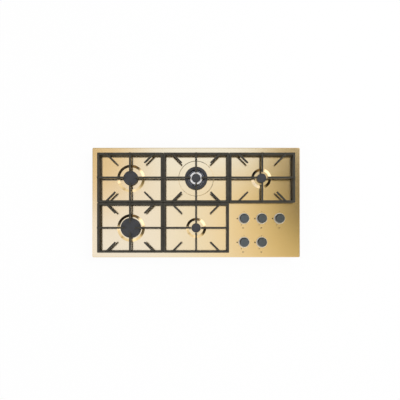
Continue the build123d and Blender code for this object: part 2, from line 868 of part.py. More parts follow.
def grate_feet():
    """Rubber buttons pressed into the legs."""
    foot = rod(foot_radius, plate_top, plate_top + foot_height)
    foot = fillet(foot.edges().group_by(Axis.Z)[0], head_edge)
    foot += rod(foot_stem_radius, plate_top + foot_height, plate_top + foot_height + foot_stem)
    return [leg * foot for leg in grate_leg_places()]


# ---------------------------------------------------------------- knobs and taps
def d_bar(radius, flat, low, high):
    """A round bar with one flat on its back side."""
    bar = rod(radius, low, high)
    return bar - Pos(0, 2 * radius - flat, 0) * block(2 * radius, 2 * radius, low, high)


def knob():
    low = knob_low
    outline = Polyline(
        (0, low),
        (knob_radius, low),
        (knob_radius, low + knob_skirt_height),
        (knob_shoulder_radius, low + knob_shoulder_height),
        (knob_face_radius, low + knob_height),
        (0, low + knob_height),
        close=True,
    )
    body = revolve(Plane.XZ * make_face(outline), Axis.Z)
    body = fillet(body.edges().group_by(Axis.Z)[-1], knob_edge)
    hollow_top = low + knob_height - knob_roof
    body -= rod(knob_radius - knob_wall, low, hollow_top) - rod(knob_hub_radius, low, hollow_top)
    body -= rod(spindle_radius + spindle_fit, low, plate_top + spindle_top - spindle_flat_length)
    body -= d_bar(
        spindle_radius + spindle_fit,
        spindle_flat,
        plate_top + spindle_top - spindle_flat_length,
        plate_top + spindle_top + spindle_fit,
    )
    mark_start = knob_face_radius - knob_mark_margin - knob_mark_length
    mark = Pos(0, mark_start + knob_mark_length / 2, 0) * block(
        knob_mark_width, knob_mark_length, low + knob_height - knob_mark_depth, low + knob_height
    )
    return body - mark


def tap_spindle():
    top = plate_top + spindle_top
    spindle = rod(spindle_radius, spindle_shoulder, top - spindle_flat_length)
    spindle += d_bar(spindle_radius, spindle_flat, top - spindle_flat_length, top)
    return spindle + block(tang_thickness, tang_width, tang_foot, spindle_shoulder)


def tap_plug():
    """The tapered plug that opens and shuts the gas way, shut as it stands."""
    plug = Pos(0, 0, plug_foot) * Cone(
        plug_foot_radius, plug_top_radius, plug_length, align=(Align.CENTER, Align.CENTER, Align.MIN)
    )
    gap = 2 * tang_clearance
    plug -= block(tang_thickness + gap, tang_width + gap, plug_slot_floor, plug_top)
    way = Pos(0, 0, port_z) * lying_rod(plug_port_radius, -plug_top_radius, plug_top_radius)
    return plug - way


def tap_body():
    """The valve body, its inlet saddle towards -Y and its outlet towards +Y."""
    body = rod(tap_radius, tap_foot, tap_top)
    for side in (-1, 1):
        body += Pos(side * tap_lug_offset, 0, 0) * rod(tap_lug_radius, tap_top - tap_lug_length, tap_top)
    body += Pos(0, -tap_to_rail / 2, 0) * block(
        saddle_width, tap_to_rail, port_z - saddle_height / 2, port_z + saddle_height / 2
    )
    body += Pos(0, 0, port_z) * Rot(0, 0, 90) * lying_rod(tap_outlet_radius, 0, tap_outlet_reach)
    body -= Pos(0, -tap_to_rail, port_z) * lying_rod(rail_radius, -saddle_width, saddle_width)
    body -= Pos(0, 0, plug_foot - plug_end_clearance) * Cone(
        plug_foot_radius + plug_clearance,
        plug_top_radius + plug_clearance,
        plug_length,
        align=(Align.CENTER, Align.CENTER, Align.MIN),
    )
    body -= rod(tap_bore_radius, plug_top - plug_end_clearance, tap_top)
    way = Rot(0, 0, 90) * lying_rod(channel_bore, -tap_to_rail, tap_outlet_reach)
    body -= Pos(0, 0, port_z) * way
    for side in (-1, 1):
        hole = rod(tap_screw_radius + thread_clearance, tap_top - tap_screw_length, tap_top)
        body -= Pos(side * tap_lug_offset, 0, 0) * hole
    for hole in saddle_holes():
        body -= hole
    return body


def on_tap(tap, shape):
    turn = 0 if tap.side > 0 else 180
    return Pos(tap.x, tap.y, 0) * Rot(0, 0, turn) * shape


def magnet_valve():
    """The safety magnet beside the plug, screwed into the body's left side."""
    z = port_z + magnet_rise
    valve = Pos(0, 0, z) * lying_rod(magnet_radius, -magnet_reach, -tap_radius)
    valve += Pos(0, 0, z) * lying_rod(
        magnet_terminal_radius, -magnet_reach - magnet_terminal, -magnet_reach
    )
    return valve - rod(tap_radius, tap_foot, tap_top)


def tap_cover():
    cover = SlotCenterToCenter(2 * tap_lug_offset, 2 * tap_lug_radius)
    cover += Circle(tap_radius)
    cover -= Circle(spindle_radius + tap_cover_hole_clearance)
    for side in (-1, 1):
        cover -= Pos(side * tap_lug_offset, 0) * Circle(tap_screw_radius + thread_clearance)
    return Pos(0, 0, tap_top) * extrude(cover, tap_cover_thickness)


def tap_screws():
    """The cover's two screws and the two that draw the rail's clamp to the saddle."""
    screw = pan_screw(tap_screw_radius, tap_screw_head_radius, tap_screw_head, tap_screw_length)
    top = tap_top + tap_cover_thickness
    screws = [Pos(side * tap_lug_offset, 0, top) * screw for side in (-1, 1)]
    face = -tap_to_rail - clamp_block_depth
    long_screw = pan_screw(
        tap_screw_radius, tap_screw_head_radius, tap_screw_head, clamp_block_depth + tap_screw_length
    )
    for side in (-1, 1):
        z = port_z + side * saddle_screw_spacing / 2
        screws.append(Pos(0, face, z) * Rot(90, 0, 0) * long_screw)
    return screws


def saddle_holes():
    """The holes that the long screws pass through, in the clamp and in the saddle."""
    start = -tap_to_rail - clamp_block_depth
    holes = []
    for side in (-1, 1):
        z = port_z + side * saddle_screw_spacing / 2
        bore = lying_rod(tap_screw_radius + thread_clearance, 0, clamp_block_depth + tap_screw_length)
        holes.append(Pos(0, start, z) * Rot(0, 0, 90) * bore)
    return holes


def rail_clamp():
    """The block that holds a tap's saddle on the rail."""
    centre_y = -tap_to_rail - clamp_block_depth / 2
    shape = Pos(0, centre_y, 0) * block(
        saddle_width, clamp_block_depth, port_z - saddle_height / 2, port_z + saddle_height / 2
    )
    shape -= Pos(0, -tap_to_rail, port_z) * lying_rod(rail_radius, -saddle_width, saddle_width)
    for hole in saddle_holes():
        shape -= hole
    return shape


def rail_y(side):
    """The rail's place for the row of taps whose outlets look to that side."""
    return (knob_back_y if side > 0 else knob_front_y) - side * tap_to_rail


def gas_rail():
    """Two rails joined by a leg along the right side that leads to the inlet."""
    start = knob_first_x - rail_end_margin
    end_y = inlet_y - inlet_block / 2
    shell = None
    bores = []
    for side in (-1, 1):
        place = Pos(0, rail_y(side), port_z)
        run = place * lying_rod(rail_radius, start, rail_leg_x)
        shell = run if shell is None else shell + run
        bores.append(place * lying_rod(rail_radius - rail_wall, start + rail_wall, rail_leg_x))
    leg_start = rail_y(-1) - rail_radius
    leg = Pos(rail_leg_x, 0, port_z) * Rot(0, 0, 90)
    shell += leg * lying_rod(rail_radius, leg_start, end_y)
    bores.append(leg * lying_rod(rail_radius - rail_wall, leg_start + rail_wall, end_y))
    for bore in bores:
        shell -= bore
    for tap in taps:
        hole = lying_rod(channel_bore, tap_to_rail - rail_radius - rail_wall, tap_to_rail)
        shell -= on_tap(tap, Pos(0, 0, port_z) * Rot(0, 0, -90) * hole)
    return shell


def rail_bracket():
    """A channel of sheet that stands on the casing's floor and carries both rails."""
    low = casing_sheet
    high = port_z - rail_radius
    back = rail_y(1) + rail_radius
    front = rail_y(-1) - rail_radius
    length = back - front
    top = block(rail_bracket_width, length, high - rail_bracket_sheet, high)
    for side in (-1, 1):
        leg_y = side * (length - rail_bracket_sheet) / 2
        top += Pos(0, leg_y, 0) * block(rail_bracket_width, rail_bracket_sheet, low, high)
        foot_y = side * (length / 2 - rail_bracket_width / 2)
        top += Pos(0, foot_y, 0) * block(
            rail_bracket_width, rail_bracket_width, low, low + rail_bracket_sheet
        )
    return Pos((knob_first_x + knob_middle_x) / 2, (back + front) / 2, 0) * top


def gas_inlet():
    """The brass elbow on the bay's roof, whose thread looks down, and its locknut."""
    base = bay_height + casing_sheet
    elbow = block(inlet_block, inlet_block, base, base + inlet_block_height)
    elbow = chamfer(elbow.edges().filter_by(Axis.Z), inlet_block_chamfer)
    elbow += rod(inlet_thread_radius, inlet_end, base)
    groove_top = bay_height - inlet_locknut
    groove = rod(inlet_thread_radius, groove_top - inlet_groove, groove_top)
    elbow -= groove - rod(inlet_thread_radius - inlet_groove_depth, groove_top - inlet_groove, groove_top)
    elbow -= rod(inlet_bore, inlet_end, port_z)
    way = Pos(0, 0, port_z) * Rot(0, 0, -90) * lying_rod(rail_radius - rail_wall, 0, inlet_block / 2)
    elbow -= way
    nut = hexagon(inlet_locknut_flats, bay_height - inlet_locknut, bay_height)
    nut -= rod(inlet_thread_radius + thread_clearance, bay_height - inlet_locknut, bay_height)
    place = Pos(rail_leg_x, inlet_y, 0)
    return [place * elbow, place * nut]


def tube(points):
    """A bent round tube through points, straight between its bends."""
    path = FilletPolyline(*points, radius=tube_bend)
    section = Plane(origin=path @ 0, z_dir=path % 0)
    ring = section * (Circle(tube_radius) - Circle(tube_radius - tube_wall))
    return sweep(ring, path=path)


def tube_nut():
    """A union nut on a tube's end, along +X from the port's face."""
    nut = Rot(0, 90, 0) * hexagon(tube_nut_flats, 0, tube_nut_length)
    return nut - lying_rod(tube_radius, 0, tube_nut_length)


def gas_tubes():
    """One tube from each tap's outlet to its burner's port, with a nut at each end."""
    by_name = {tap.name: tap for tap in taps}
    routes = []

    def tap_end(name):
        tap = by_name[name]
        return (tap.x, tap.y + tap.side * tap_outlet_reach, port_z)

    for burner, corridor in ((back_left, mid_corridor_y), (back_centre, back_corridor_y)):
        start = tap_end(burner.name)
        end = (burner.x, burner.y - port_face(burner), port_z)
        routes.append([start, (start[0], corridor, port_z), (end[0], corridor, port_z), end])

    start = tap_end(back_right.name)
    end = (back_right.x + port_face(back_right), back_right.y, port_z)
    routes.append([start, (start[0], end[1], port_z), end])

    start = tap_end(front_left.name)
    end = (front_left.x, front_left.y - port_face(front_left), port_z)
    routes.append([start, (start[0], front_corridor_y, port_z), (end[0], front_corridor_y, port_z), end])

    low = port_z - crossing_drop
    start = tap_end(front_centre.name)
    end = (front_centre.x, front_centre.y - port_face(front_centre), port_z)
    rise_y = end[1] - tube_nut_length - tube_bend
    routes.append(
        [
            start,
            (start[0], front_corridor_y, port_z),
            (crossing_start_x, front_corridor_y, port_z),
            (crossing_start_x - crossing_drop, front_corridor_y, low),
            (end[0], front_corridor_y, low),
            (end[0], rise_y - crossing_drop, low),
            (end[0], rise_y, port_z),
            end,
        ]
    )
    pieces = [tube(route) for route in routes]
    for tap in taps:
        outlet = Pos(0, tap_outlet_reach, port_z) * Rot(0, 0, 90)
        pieces.append(on_tap(tap, outlet * tube_nut()))
    for burner in burners:
        port = Rot(0, 0, burner.port_angle) * Pos(port_face(burner), 0, port_z)
        pieces.append(Pos(burner.x, burner.y, 0) * port * tube_nut())
    return pieces


def knob_bezel():
    """The polished ring on the plate round a knob's spindle."""
    ring = rod(bezel_radius, plate_top, plate_top + bezel_height)
    ring = chamfer(ring.edges().group_by(Axis.Z)[-1], bezel_edge)
    return ring - rod(spindle_radius + spindle_hole_clearance, plate_top, plate_top + bezel_height)


# ---------------------------------------------------------------- ignition and mains
def spark_generator():
    low = casing_sheet
    high = low + generator_height
    box = block(generator_length, generator_width, low, high)
    box = fillet(box.edges().filter_by(Axis.Z), generator_corner_radius)
    for side in (-1, 1):
        x = side * (generator_length + generator_tab) / 2
        tab = Pos(x, 0, 0) * block(generator_tab, generator_tab_width, low, low + generator_tab_thickness)
        box += tab - Pos(x, 0, 0) * rod(stud_radius, low, low + generator_tab_thickness)
    for turn in range(generator_outlets):
        x = (turn - (generator_outlets - 1) / 2) * generator_outlet_pitch
        outlet = Pos(x, -generator_width / 2, (low + high) / 2) * Rot(0, 0, -90)
        box += outlet * lying_rod(generator_outlet_radius, 0, generator_outlet_length)
    return Pos(column_pitch / 2, generator_y, 0) * box


def gland_place():
    """The middle of the cable outlet on the bay's inner side wall, +X outwards."""
    return Pos(bay_x, bay_y + gland_y_inset, gland_z)


def mains_terminal_box():
    """The moulded terminal box, whose cable outlet passes through the bay's side wall."""
    low = casing_sheet
    high = low + terminal_height
    centre_x = bay_x - casing_sheet - terminal_length / 2
    box = Pos(centre_x, bay_y + gland_y_inset, 0) * block(terminal_length, terminal_width, low, high)
    box = fillet(box.edges().filter_by(Axis.Z), terminal_corner_radius)
    for turn in range(terminal_poles):
        shift = (turn - (terminal_poles - 1) / 2) * terminal_pole_pitch
        pole = Pos(centre_x + shift, bay_y + gland_y_inset, 0)
        box -= pole * rod(terminal_pole_radius, high - terminal_pole_depth, high)
    box += gland_place() * lying_rod(gland_radius, -casing_sheet, gland_reach)
    box -= gland_place() * lying_rod(gland_bore, -gland_bore_depth, gland_reach)
    return box


# ---------------------------------------------------------------- every node
def at_each(items, maker):
    """One solid per burner or tap, each in its own place."""
    return [Pos(item.x, item.y, 0) * maker(item) for item in items]


def write_plate_and_casing():
    save("hob_plate", hob_plate())
    save("worktop_seal", worktop_seal())
    save("stud_nuts", *stud_nuts())
    save("bottom_casing", bottom_casing())
    save("clamp_brackets", *[place * clamp_bracket() for place in clamp_places()])
    save("clamp_screws", *[place * clamp_screw() for place in clamp_places()])


def write_burners():
    for burner in burners:
        place = Pos(burner.x, burner.y, 0)
        save("burner_cup_" + burner.name, place * burner_cup(burner))
        if burner is back_centre:
            save("burner_head_" + burner.name, place * wok_crown())
            save("burner_ring_cap_" + burner.name, place * wok_ring_cap())
            save("burner_centre_cap_" + burner.name, place * wok_centre_cap())
        else:
            save("burner_head_" + burner.name, place * burner_head(burner))
            save("burner_cap_" + burner.name, place * burner_cap(burner))
    save("injectors", *at_each(burners, lambda burner: injector()))
    save("ignition_electrodes", *at_each(burners, ignition_electrode))
    save("thermocouples", *at_each(burners, thermocouple))


def write_grates():
    shape = grate()
    feet = grate_feet()
    for burner in burners:
        place = Pos(burner.x, burner.y, 0)
        save("grate_" + burner.name, place * shape)
        save("grate_feet_" + burner.name, *[place * foot for foot in feet])


def write_taps():
    shapes = {"knob_": knob(), "tap_spindle_": tap_spindle(), "tap_plug_": tap_plug()}
    for tap in taps:
        for prefix, shape in shapes.items():
            save(prefix + tap.name, Pos(tap.x, tap.y, 0) * shape)
    body = tap_body()
    valve = magnet_valve()
    cover = tap_cover()
    clamp = rail_clamp()
    save("tap_bodies", *[on_tap(tap, body) for tap in taps], *[on_tap(tap, valve) for tap in taps])
    save("tap_covers", *[on_tap(tap, cover) for tap in taps])
    save("rail_clamps", *[on_tap(tap, clamp) for tap in taps], rail_bracket())
    screws = [on_tap(tap, screw) for tap in taps for screw in tap_screws()]
    save("machine_screws", *screws, *[place * wall_screw() for place in clamp_places()])
    save("knob_bezels", *at_each(taps, lambda tap: knob_bezel()))


def write_gas_and_mains():
    save("gas_rail", gas_rail())
    save("gas_inlet", *gas_inlet())
    save("gas_tubes", *gas_tubes())
    save("spark_generator", spark_generator())
    save("mains_terminal_box", mains_terminal_box())


write_plate_and_casing()
write_burners()
write_grates()
write_taps()
write_gas_and_mains()
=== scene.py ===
# %% [markdown]
# # A built-in gas cooktop
#
# The cooktop's solid pieces come from its CAD model, at their real size and in their real places.
# This lesson gives them their finishes, adds the small printed and inlaid details that belong to the
# look and not to the mechanics, and lights the whole for a view from straight above.

# %% Load the solid pieces
import json
from math import cos, pi, radians, sin

import bpy
from mathutils import Matrix, Vector

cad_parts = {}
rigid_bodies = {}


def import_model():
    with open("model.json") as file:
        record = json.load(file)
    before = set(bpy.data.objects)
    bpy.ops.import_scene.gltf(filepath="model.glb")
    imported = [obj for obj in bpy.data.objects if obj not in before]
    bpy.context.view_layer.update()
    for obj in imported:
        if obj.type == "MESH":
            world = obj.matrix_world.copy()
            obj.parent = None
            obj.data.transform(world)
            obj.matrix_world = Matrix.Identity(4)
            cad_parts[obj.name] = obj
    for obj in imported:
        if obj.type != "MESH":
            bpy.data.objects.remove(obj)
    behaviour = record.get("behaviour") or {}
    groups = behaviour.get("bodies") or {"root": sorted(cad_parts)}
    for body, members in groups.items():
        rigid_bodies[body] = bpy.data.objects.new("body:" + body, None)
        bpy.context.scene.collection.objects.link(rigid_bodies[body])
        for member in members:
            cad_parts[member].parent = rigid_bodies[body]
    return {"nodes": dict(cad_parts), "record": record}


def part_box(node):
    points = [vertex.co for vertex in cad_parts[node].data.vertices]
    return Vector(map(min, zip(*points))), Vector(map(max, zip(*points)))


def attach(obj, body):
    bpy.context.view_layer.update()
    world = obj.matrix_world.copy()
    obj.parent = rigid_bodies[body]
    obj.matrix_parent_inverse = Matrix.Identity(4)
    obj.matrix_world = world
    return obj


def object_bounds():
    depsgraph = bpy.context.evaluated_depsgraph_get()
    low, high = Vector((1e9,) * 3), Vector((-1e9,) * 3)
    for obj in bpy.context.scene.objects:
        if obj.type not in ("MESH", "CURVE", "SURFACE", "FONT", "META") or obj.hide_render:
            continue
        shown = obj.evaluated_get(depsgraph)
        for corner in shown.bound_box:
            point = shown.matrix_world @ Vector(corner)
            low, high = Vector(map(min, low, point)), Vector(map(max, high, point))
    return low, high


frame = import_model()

cad_low, cad_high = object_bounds()
print("cooktop", [round(1000 * (high - low), 1) for low, high in zip(cad_low, cad_high)], "mm")

# %% [markdown]
# Places are read from the solid pieces and never typed twice. Each burner's axis is the middle of its
# pan support, each knob's axis is the middle of the knob, and the knobs' polished rings lie on the
# plate, so their lowest point is the plate's upper face.

# %% Where the burners and knobs are
burner_names = ("back_left", "front_left", "back_centre", "front_centre", "back_right")


def middle(node):
    low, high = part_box(node)
    return (low + high) / 2


plate_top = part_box("knob_bezels")[0].z
burner_axes = {name: middle("grate_" + name) for name in burner_names}
knob_axes = {name: middle("knob_" + name) for name in burner_names}
knob_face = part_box("knob_back_left")[1].z
print("plate's upper face", round(1000 * plate_top, 1), "mm, knob faces", round(1000 * knob_face, 1), "mm")

# %% [markdown]
# ## The camera
#
# The real view is taken from straight above, so the plate's sides stay parallel. Bars that stand above
# the plate lean away from the point under the camera, and that gives its place: 2.25 m over the plate
# and in front of its middle. The camera isn't turned. Its picture is shifted instead, as with a shift
# lens, which keeps the plate a true rectangle.

# %% Camera straight above
camera_height = 2.25
picture_width = 1.8616      # width of the view on the plate, in metres
picture_middle = (0.0181, 0.0116)    # from the plate's middle
camera_place = (0.0, -0.1745)

camera_data = bpy.data.cameras.new("camera")
camera = bpy.data.objects.new("camera", camera_data)
bpy.context.scene.collection.objects.link(camera)
camera.location = (camera_place[0], camera_place[1], plate_top + camera_height)
camera_data.sensor_width = 36.0
camera_data.lens = camera_data.sensor_width * camera_height / picture_width
camera_data.shift_x = (picture_middle[0] - camera_place[0]) / picture_width
camera_data.shift_y = (picture_middle[1] - camera_place[1]) / picture_width
bpy.context.scene.camera = camera
print("lens", round(camera_data.lens, 2))
print("shift", round(camera_data.shift_x, 4), round(camera_data.shift_y, 4))

# %% [markdown]
# ## Light
#
# A polished metal plate seen from above shows the ceiling, so what the metals mirror is drawn on the
# world. Three soft boxes add the direct light that shapes the matt pieces: the iron, the enamel and the
# rubber. They stay out of the mirror images, because a lamp's bright face would show as a blotch on the
# plate.

# %% Soft boxes
bpy.context.scene.view_settings.view_transform = "Standard"
lamp_scale = 4.0            # watts for a radiance of 1 from one square metre
box_lean = radians(33.4)
box_distance = 3.2


def add_soft_box(name, clock, width, depth, radiance, colour):
    """A soft box aimed at the cooktop from a clock hour, as seen from above, whatever its size."""
    data = bpy.data.lights.new(name, "AREA")
    data.shape = "RECTANGLE"
    data.size = width
    data.size_y = depth
    data.energy = lamp_scale * radiance * width * depth
    data.color = colour
    lamp = bpy.data.objects.new(name, data)
    bpy.context.scene.collection.objects.link(lamp)
    turn = radians(30 * clock)
    outward = Vector((sin(box_lean) * sin(turn), sin(box_lean) * cos(turn), cos(box_lean)))
    lamp.location = outward * box_distance
    lamp.rotation_mode = "QUATERNION"
    lamp.rotation_quaternion = (-outward).to_track_quat("-Z", "Y")
    lamp.visible_camera = False
    lamp.visible_glossy = False


add_soft_box("right_box", clock=2.1, width=1.5, depth=0.9, radiance=4.0, colour=(1.0, 1.0, 1.0))
add_soft_box("left_box", clock=8.7, width=0.5, depth=0.8, radiance=5.0, colour=(1.0, 0.98, 0.94))
add_soft_box("front_box", clock=5.6, width=0.6, depth=0.6, radiance=3.0, colour=(1.0, 0.96, 0.88))

# %% [markdown]
# The world's colour is worked out from the direction alone. Dividing a direction by its height gives its
# place on a level ceiling one unit up, and everything is drawn on that ceiling:
#
# - overhead, what the flat plate mirrors: pale and cool in the middle, with one dim warm patch that the
#   plate shows at its right, a cooler side that it shows at its rear, and a warmer corner that it shows
#   at its left rear
# - round that, what the sloping rings mirror: black from about half past nine to half past twelve and
#   from half past two to four, white between the two, and about as pale as the plate at the front
# - further out a light grey wall, down to the horizon, which the plate mirrors when it is seen from a side
#
# The camera itself sees plain white in every direction. Three helpers keep the node code short. A Mix
# node has sockets of the same name for numbers, vectors and colours, so the colours are reached by
# their socket's number.

# %% Helpers that place and set nodes
mix_first = 6               # a Mix node's two colours, and the mixed colour that it puts out
mix_second = 7
mix_result = 2


def add_node(tree, kind, **settings):
    """A new node with its settings, and its numbered inputs from input_0, input_1 and so on."""
    node = tree.nodes.new(kind)
    for name, value in settings.items():
        if name.startswith("input_"):
            node.inputs[int(name.removeprefix("input_"))].default_value = value
        else:
            setattr(node, name, value)
    return node


def fill_ramp(ramp, stops, level):
    """Sets a colour ramp's stops, given as (position, colour), with colours up to that level."""
    points = ramp.color_ramp.elements
    while len(points) < len(stops):
        points.new(0.5)
    for point, (position, colour) in zip(points, sorted(stops)):
        point.position = position
        point.color = (*[channel / level for channel in colour], 1.0)


def add_share(tree, edge):
    """A share that changes smoothly from 0 to 1 between an edge's two values."""
    node = add_node(tree, "ShaderNodeMapRange", interpolation_type="SMOOTHSTEP")
    node.inputs["From Min"].default_value = edge[0]
    node.inputs["From Max"].default_value = edge[1]
    return node


print("a Mix node's colours are its sockets", mix_first, "and", mix_second)

# %% World: places on the ceiling
ceiling_level = 2.0         # the brightest colour that is drawn
lowest_height = 0.05        # keeps the division going at and below the horizon
patch_squeeze = (1.0, 0.6, 0.0)    # the dim patch is longer from front to rear
patch_place = (0.25, 0.075, 0.0)    # in those squeezed places
corner_place = (-0.22, 0.17, 0.0)

world = bpy.data.worlds.new("studio")
bpy.context.scene.world = world
world.use_nodes = True
room = world.node_tree
room.nodes.clear()
looking = add_node(room, "ShaderNodeTexCoord").outputs["Generated"]
parts = add_node(room, "ShaderNodeSeparateXYZ")
upward = add_node(room, "ShaderNodeMath", operation="MAXIMUM", input_1=lowest_height)
shrink = add_node(room, "ShaderNodeMath", operation="DIVIDE", input_0=1.0)
on_ceiling = add_node(room, "ShaderNodeVectorMath", operation="SCALE")
flat = add_node(room, "ShaderNodeVectorMath", operation="MULTIPLY", input_1=(1.0, 1.0, 0.0))
room.links.new(looking, parts.inputs["Vector"])
room.links.new(parts.outputs["Z"], upward.inputs[0])
room.links.new(upward.outputs["Value"], shrink.inputs[1])
room.links.new(looking, on_ceiling.inputs[0])
room.links.new(shrink.outputs["Value"], on_ceiling.inputs["Scale"])
room.links.new(on_ceiling.outputs["Vector"], flat.inputs[0])
reach = add_node(room, "ShaderNodeVectorMath", operation="LENGTH")
from_patch = add_node(room, "ShaderNodeVectorMath", operation="DISTANCE", input_1=patch_place)
from_corner = add_node(room, "ShaderNodeVectorMath", operation="DISTANCE", input_1=corner_place)
squeezed = add_node(room, "ShaderNodeVectorMath", operation="MULTIPLY", input_1=patch_squeeze)
room.links.new(flat.outputs["Vector"], squeezed.inputs[0])
room.links.new(squeezed.outputs["Vector"], from_patch.inputs[0])
for measure in (reach, from_corner):
    room.links.new(flat.outputs["Vector"], measure.inputs[0])
print("world", world.name)

# %% World: the ceiling over the plate
patch_reach = 0.5           # the ramp's length, in distance from the dim patch
rear_edge = (0.09, 0.19)    # how far to the rear the cool side begins, and where it is full
beside_patch_edge = (0.09, 0.15)    # it stays this far away from the dim patch
cool = (1.10, 1.36, 1.98)
corner_edge = (0.16, 0.05)  # how far from its middle the warm corner begins, and where it is full
corner_strength = 0.85
warm = (0.96, 0.78, 0.42)

patch_size = add_node(room, "ShaderNodeMath", operation="DIVIDE", input_1=patch_reach)
overhead = add_node(room, "ShaderNodeValToRGB")
fill_ramp(
    overhead,
    [
        (0.000 / patch_reach, (0.00, 0.00, 0.00)),
        (0.045 / patch_reach, (0.03, 0.02, 0.00)),
        (0.060 / patch_reach, (0.20, 0.17, 0.07)),
        (0.075 / patch_reach, (0.42, 0.37, 0.17)),
        (0.100 / patch_reach, (0.72, 0.62, 0.34)),
        (0.125 / patch_reach, (0.86, 0.76, 0.46)),
        (0.150 / patch_reach, (0.98, 0.88, 0.62)),
        (0.180 / patch_reach, (1.03, 0.95, 0.76)),
        (0.210 / patch_reach, (1.06, 1.06, 1.05)),
        (0.270 / patch_reach, (1.06, 1.16, 1.35)),
        (0.360 / patch_reach, (1.08, 1.25, 1.76)),
    ],
    ceiling_level,
)
rear_place = add_node(room, "ShaderNodeSeparateXYZ")
rear_share = add_share(room, rear_edge)
beside_patch = add_share(room, beside_patch_edge)
cool_share = add_node(room, "ShaderNodeMath", operation="MULTIPLY")
with_cool = add_node(room, "ShaderNodeMix", data_type="RGBA")
with_cool.inputs[mix_second].default_value = (*[channel / ceiling_level for channel in cool], 1.0)
room.links.new(flat.outputs["Vector"], rear_place.inputs["Vector"])
room.links.new(rear_place.outputs["Y"], rear_share.inputs["Value"])
room.links.new(from_patch.outputs["Value"], beside_patch.inputs["Value"])
room.links.new(rear_share.outputs["Result"], cool_share.inputs[0])
room.links.new(beside_patch.outputs["Result"], cool_share.inputs[1])
room.links.new(cool_share.outputs["Value"], with_cool.inputs["Factor"])
room.links.new(overhead.outputs["Color"], with_cool.inputs[mix_first])
corner_share = add_share(room, corner_edge)
corner_share.inputs["To Max"].default_value = corner_strength
with_corner = add_node(room, "ShaderNodeMix", data_type="RGBA")
with_corner.inputs[mix_second].default_value = (*[channel / ceiling_level for channel in warm], 1.0)
room.links.new(from_patch.outputs["Value"], patch_size.inputs[0])
room.links.new(patch_size.outputs["Value"], overhead.inputs["Fac"])
room.links.new(from_corner.outputs["Value"], corner_share.inputs["Value"])
room.links.new(corner_share.outputs["Result"], with_corner.inputs["Factor"])
room.links.new(with_cool.outputs[mix_result], with_corner.inputs[mix_first])
print("overhead stops", len(overhead.color_ramp.elements))

# %% [markdown]
# The band that the rings mirror changes with the clock hour as seen from above. An arc tangent turns a
# direction into that hour, with 6 o'clock at both ends of the ramp and 12 o'clock in its middle. The
# hours are those of the mirrored direction. A ring away from the camera's foot mirrors a direction that
# is turned a little from its own clock, so the same band lands differently on each ring.

# %% World: the band round it, by clock hour


def hour(clock):
    """A clock hour's position on the ramp."""
    return (clock / 12 + 0.5) % 1.0


turn_angle = add_node(room, "ShaderNodeMath", operation="ARCTAN2")
turn_share = add_node(room, "ShaderNodeMath", operation="MULTIPLY_ADD", input_1=0.5 / pi, input_2=0.5)
band = add_node(room, "ShaderNodeValToRGB")
black = (0.0, 0.0, 0.0)
brown = (0.24, 0.17, 0.08)
tan = (0.45, 0.35, 0.18)
as_plate = (1.05, 1.02, 0.93)
glow = (1.55, 1.50, 1.35)
white = (1.90, 1.90, 2.00)
band_hours = [
    (6.30, glow),
    (6.55, as_plate),
    (7.68, as_plate),
    (7.80, tan),
    (7.90, tan),
    (8.02, as_plate),
    (8.82, as_plate),
    (8.96, white),
    (9.12, white),
    (9.28, (0.50, 0.44, 0.30)),
    (9.42, black),
    (11.45, black),
    (11.80, brown),
    (12.20, brown),
    (12.45, black),
    (12.62, black),
    (12.85, (0.95, 0.88, 0.75)),
    (1.05, white),
    (2.35, white),
    (2.55, (0.85, 0.75, 0.55)),
    (2.66, black),
    (4.15, black),
    (4.45, (0.45, 0.36, 0.18)),
    (4.80, as_plate),
    (5.65, as_plate),
    (5.85, glow),
]
fill_ramp(band, [(hour(clock), colour) for clock, colour in band_hours], ceiling_level)
room.links.new(parts.outputs["X"], turn_angle.inputs[0])
room.links.new(parts.outputs["Y"], turn_angle.inputs[1])
room.links.new(turn_angle.outputs["Value"], turn_share.inputs[0])
room.links.new(turn_share.outputs["Value"], band.inputs["Fac"])
print("band stops", len(band.color_ramp.elements))

# %% World: put together
band_edge = (0.30, 0.36)    # both edges in distance from the point overhead
wall_edge = (0.80, 1.20)
wall_level = 0.82

to_band = add_share(room, band_edge)
to_wall = add_share(room, wall_edge)
ceiling = add_node(room, "ShaderNodeMix", data_type="RGBA")
whole = add_node(room, "ShaderNodeMix", data_type="RGBA")
whole.inputs[mix_second].default_value = (*[wall_level / ceiling_level] * 3, 1.0)
room_light = add_node(room, "ShaderNodeBackground")
room_light.inputs["Strength"].default_value = ceiling_level
room_white = add_node(room, "ShaderNodeBackground")
room_white.inputs["Color"].default_value = (1.0, 1.0, 1.0, 1.0)
room_rays = add_node(room, "ShaderNodeLightPath")
room_choice = add_node(room, "ShaderNodeMixShader")
room_out = add_node(room, "ShaderNodeOutputWorld")
room.links.new(reach.outputs["Value"], to_band.inputs["Value"])
room.links.new(reach.outputs["Value"], to_wall.inputs["Value"])
room.links.new(to_band.outputs["Result"], ceiling.inputs["Factor"])
room.links.new(with_corner.outputs[mix_result], ceiling.inputs[mix_first])
room.links.new(band.outputs["Color"], ceiling.inputs[mix_second])
room.links.new(to_wall.outputs["Result"], whole.inputs["Factor"])
room.links.new(ceiling.outputs[mix_result], whole.inputs[mix_first])
room.links.new(whole.outputs[mix_result], room_light.inputs["Color"])
room.links.new(room_rays.outputs["Is Camera Ray"], room_choice.inputs["Fac"])
room.links.new(room_light.outputs["Background"], room_choice.inputs[1])
room.links.new(room_white.outputs["Background"], room_choice.inputs[2])
room.links.new(room_choice.outputs["Shader"], room_out.inputs["Surface"])
print("world nodes", len(room.nodes))

# %% [markdown]
# The floor is a large pale sheet just under the casing. To the camera, and in glossy reflections, most
# of its colour is plain white, and the rest is a matt surface, which keeps the cooktop's shadow.

# %% Floor
floor_size = 14.0
floor_gap = 0.0004
white_share = 0.93

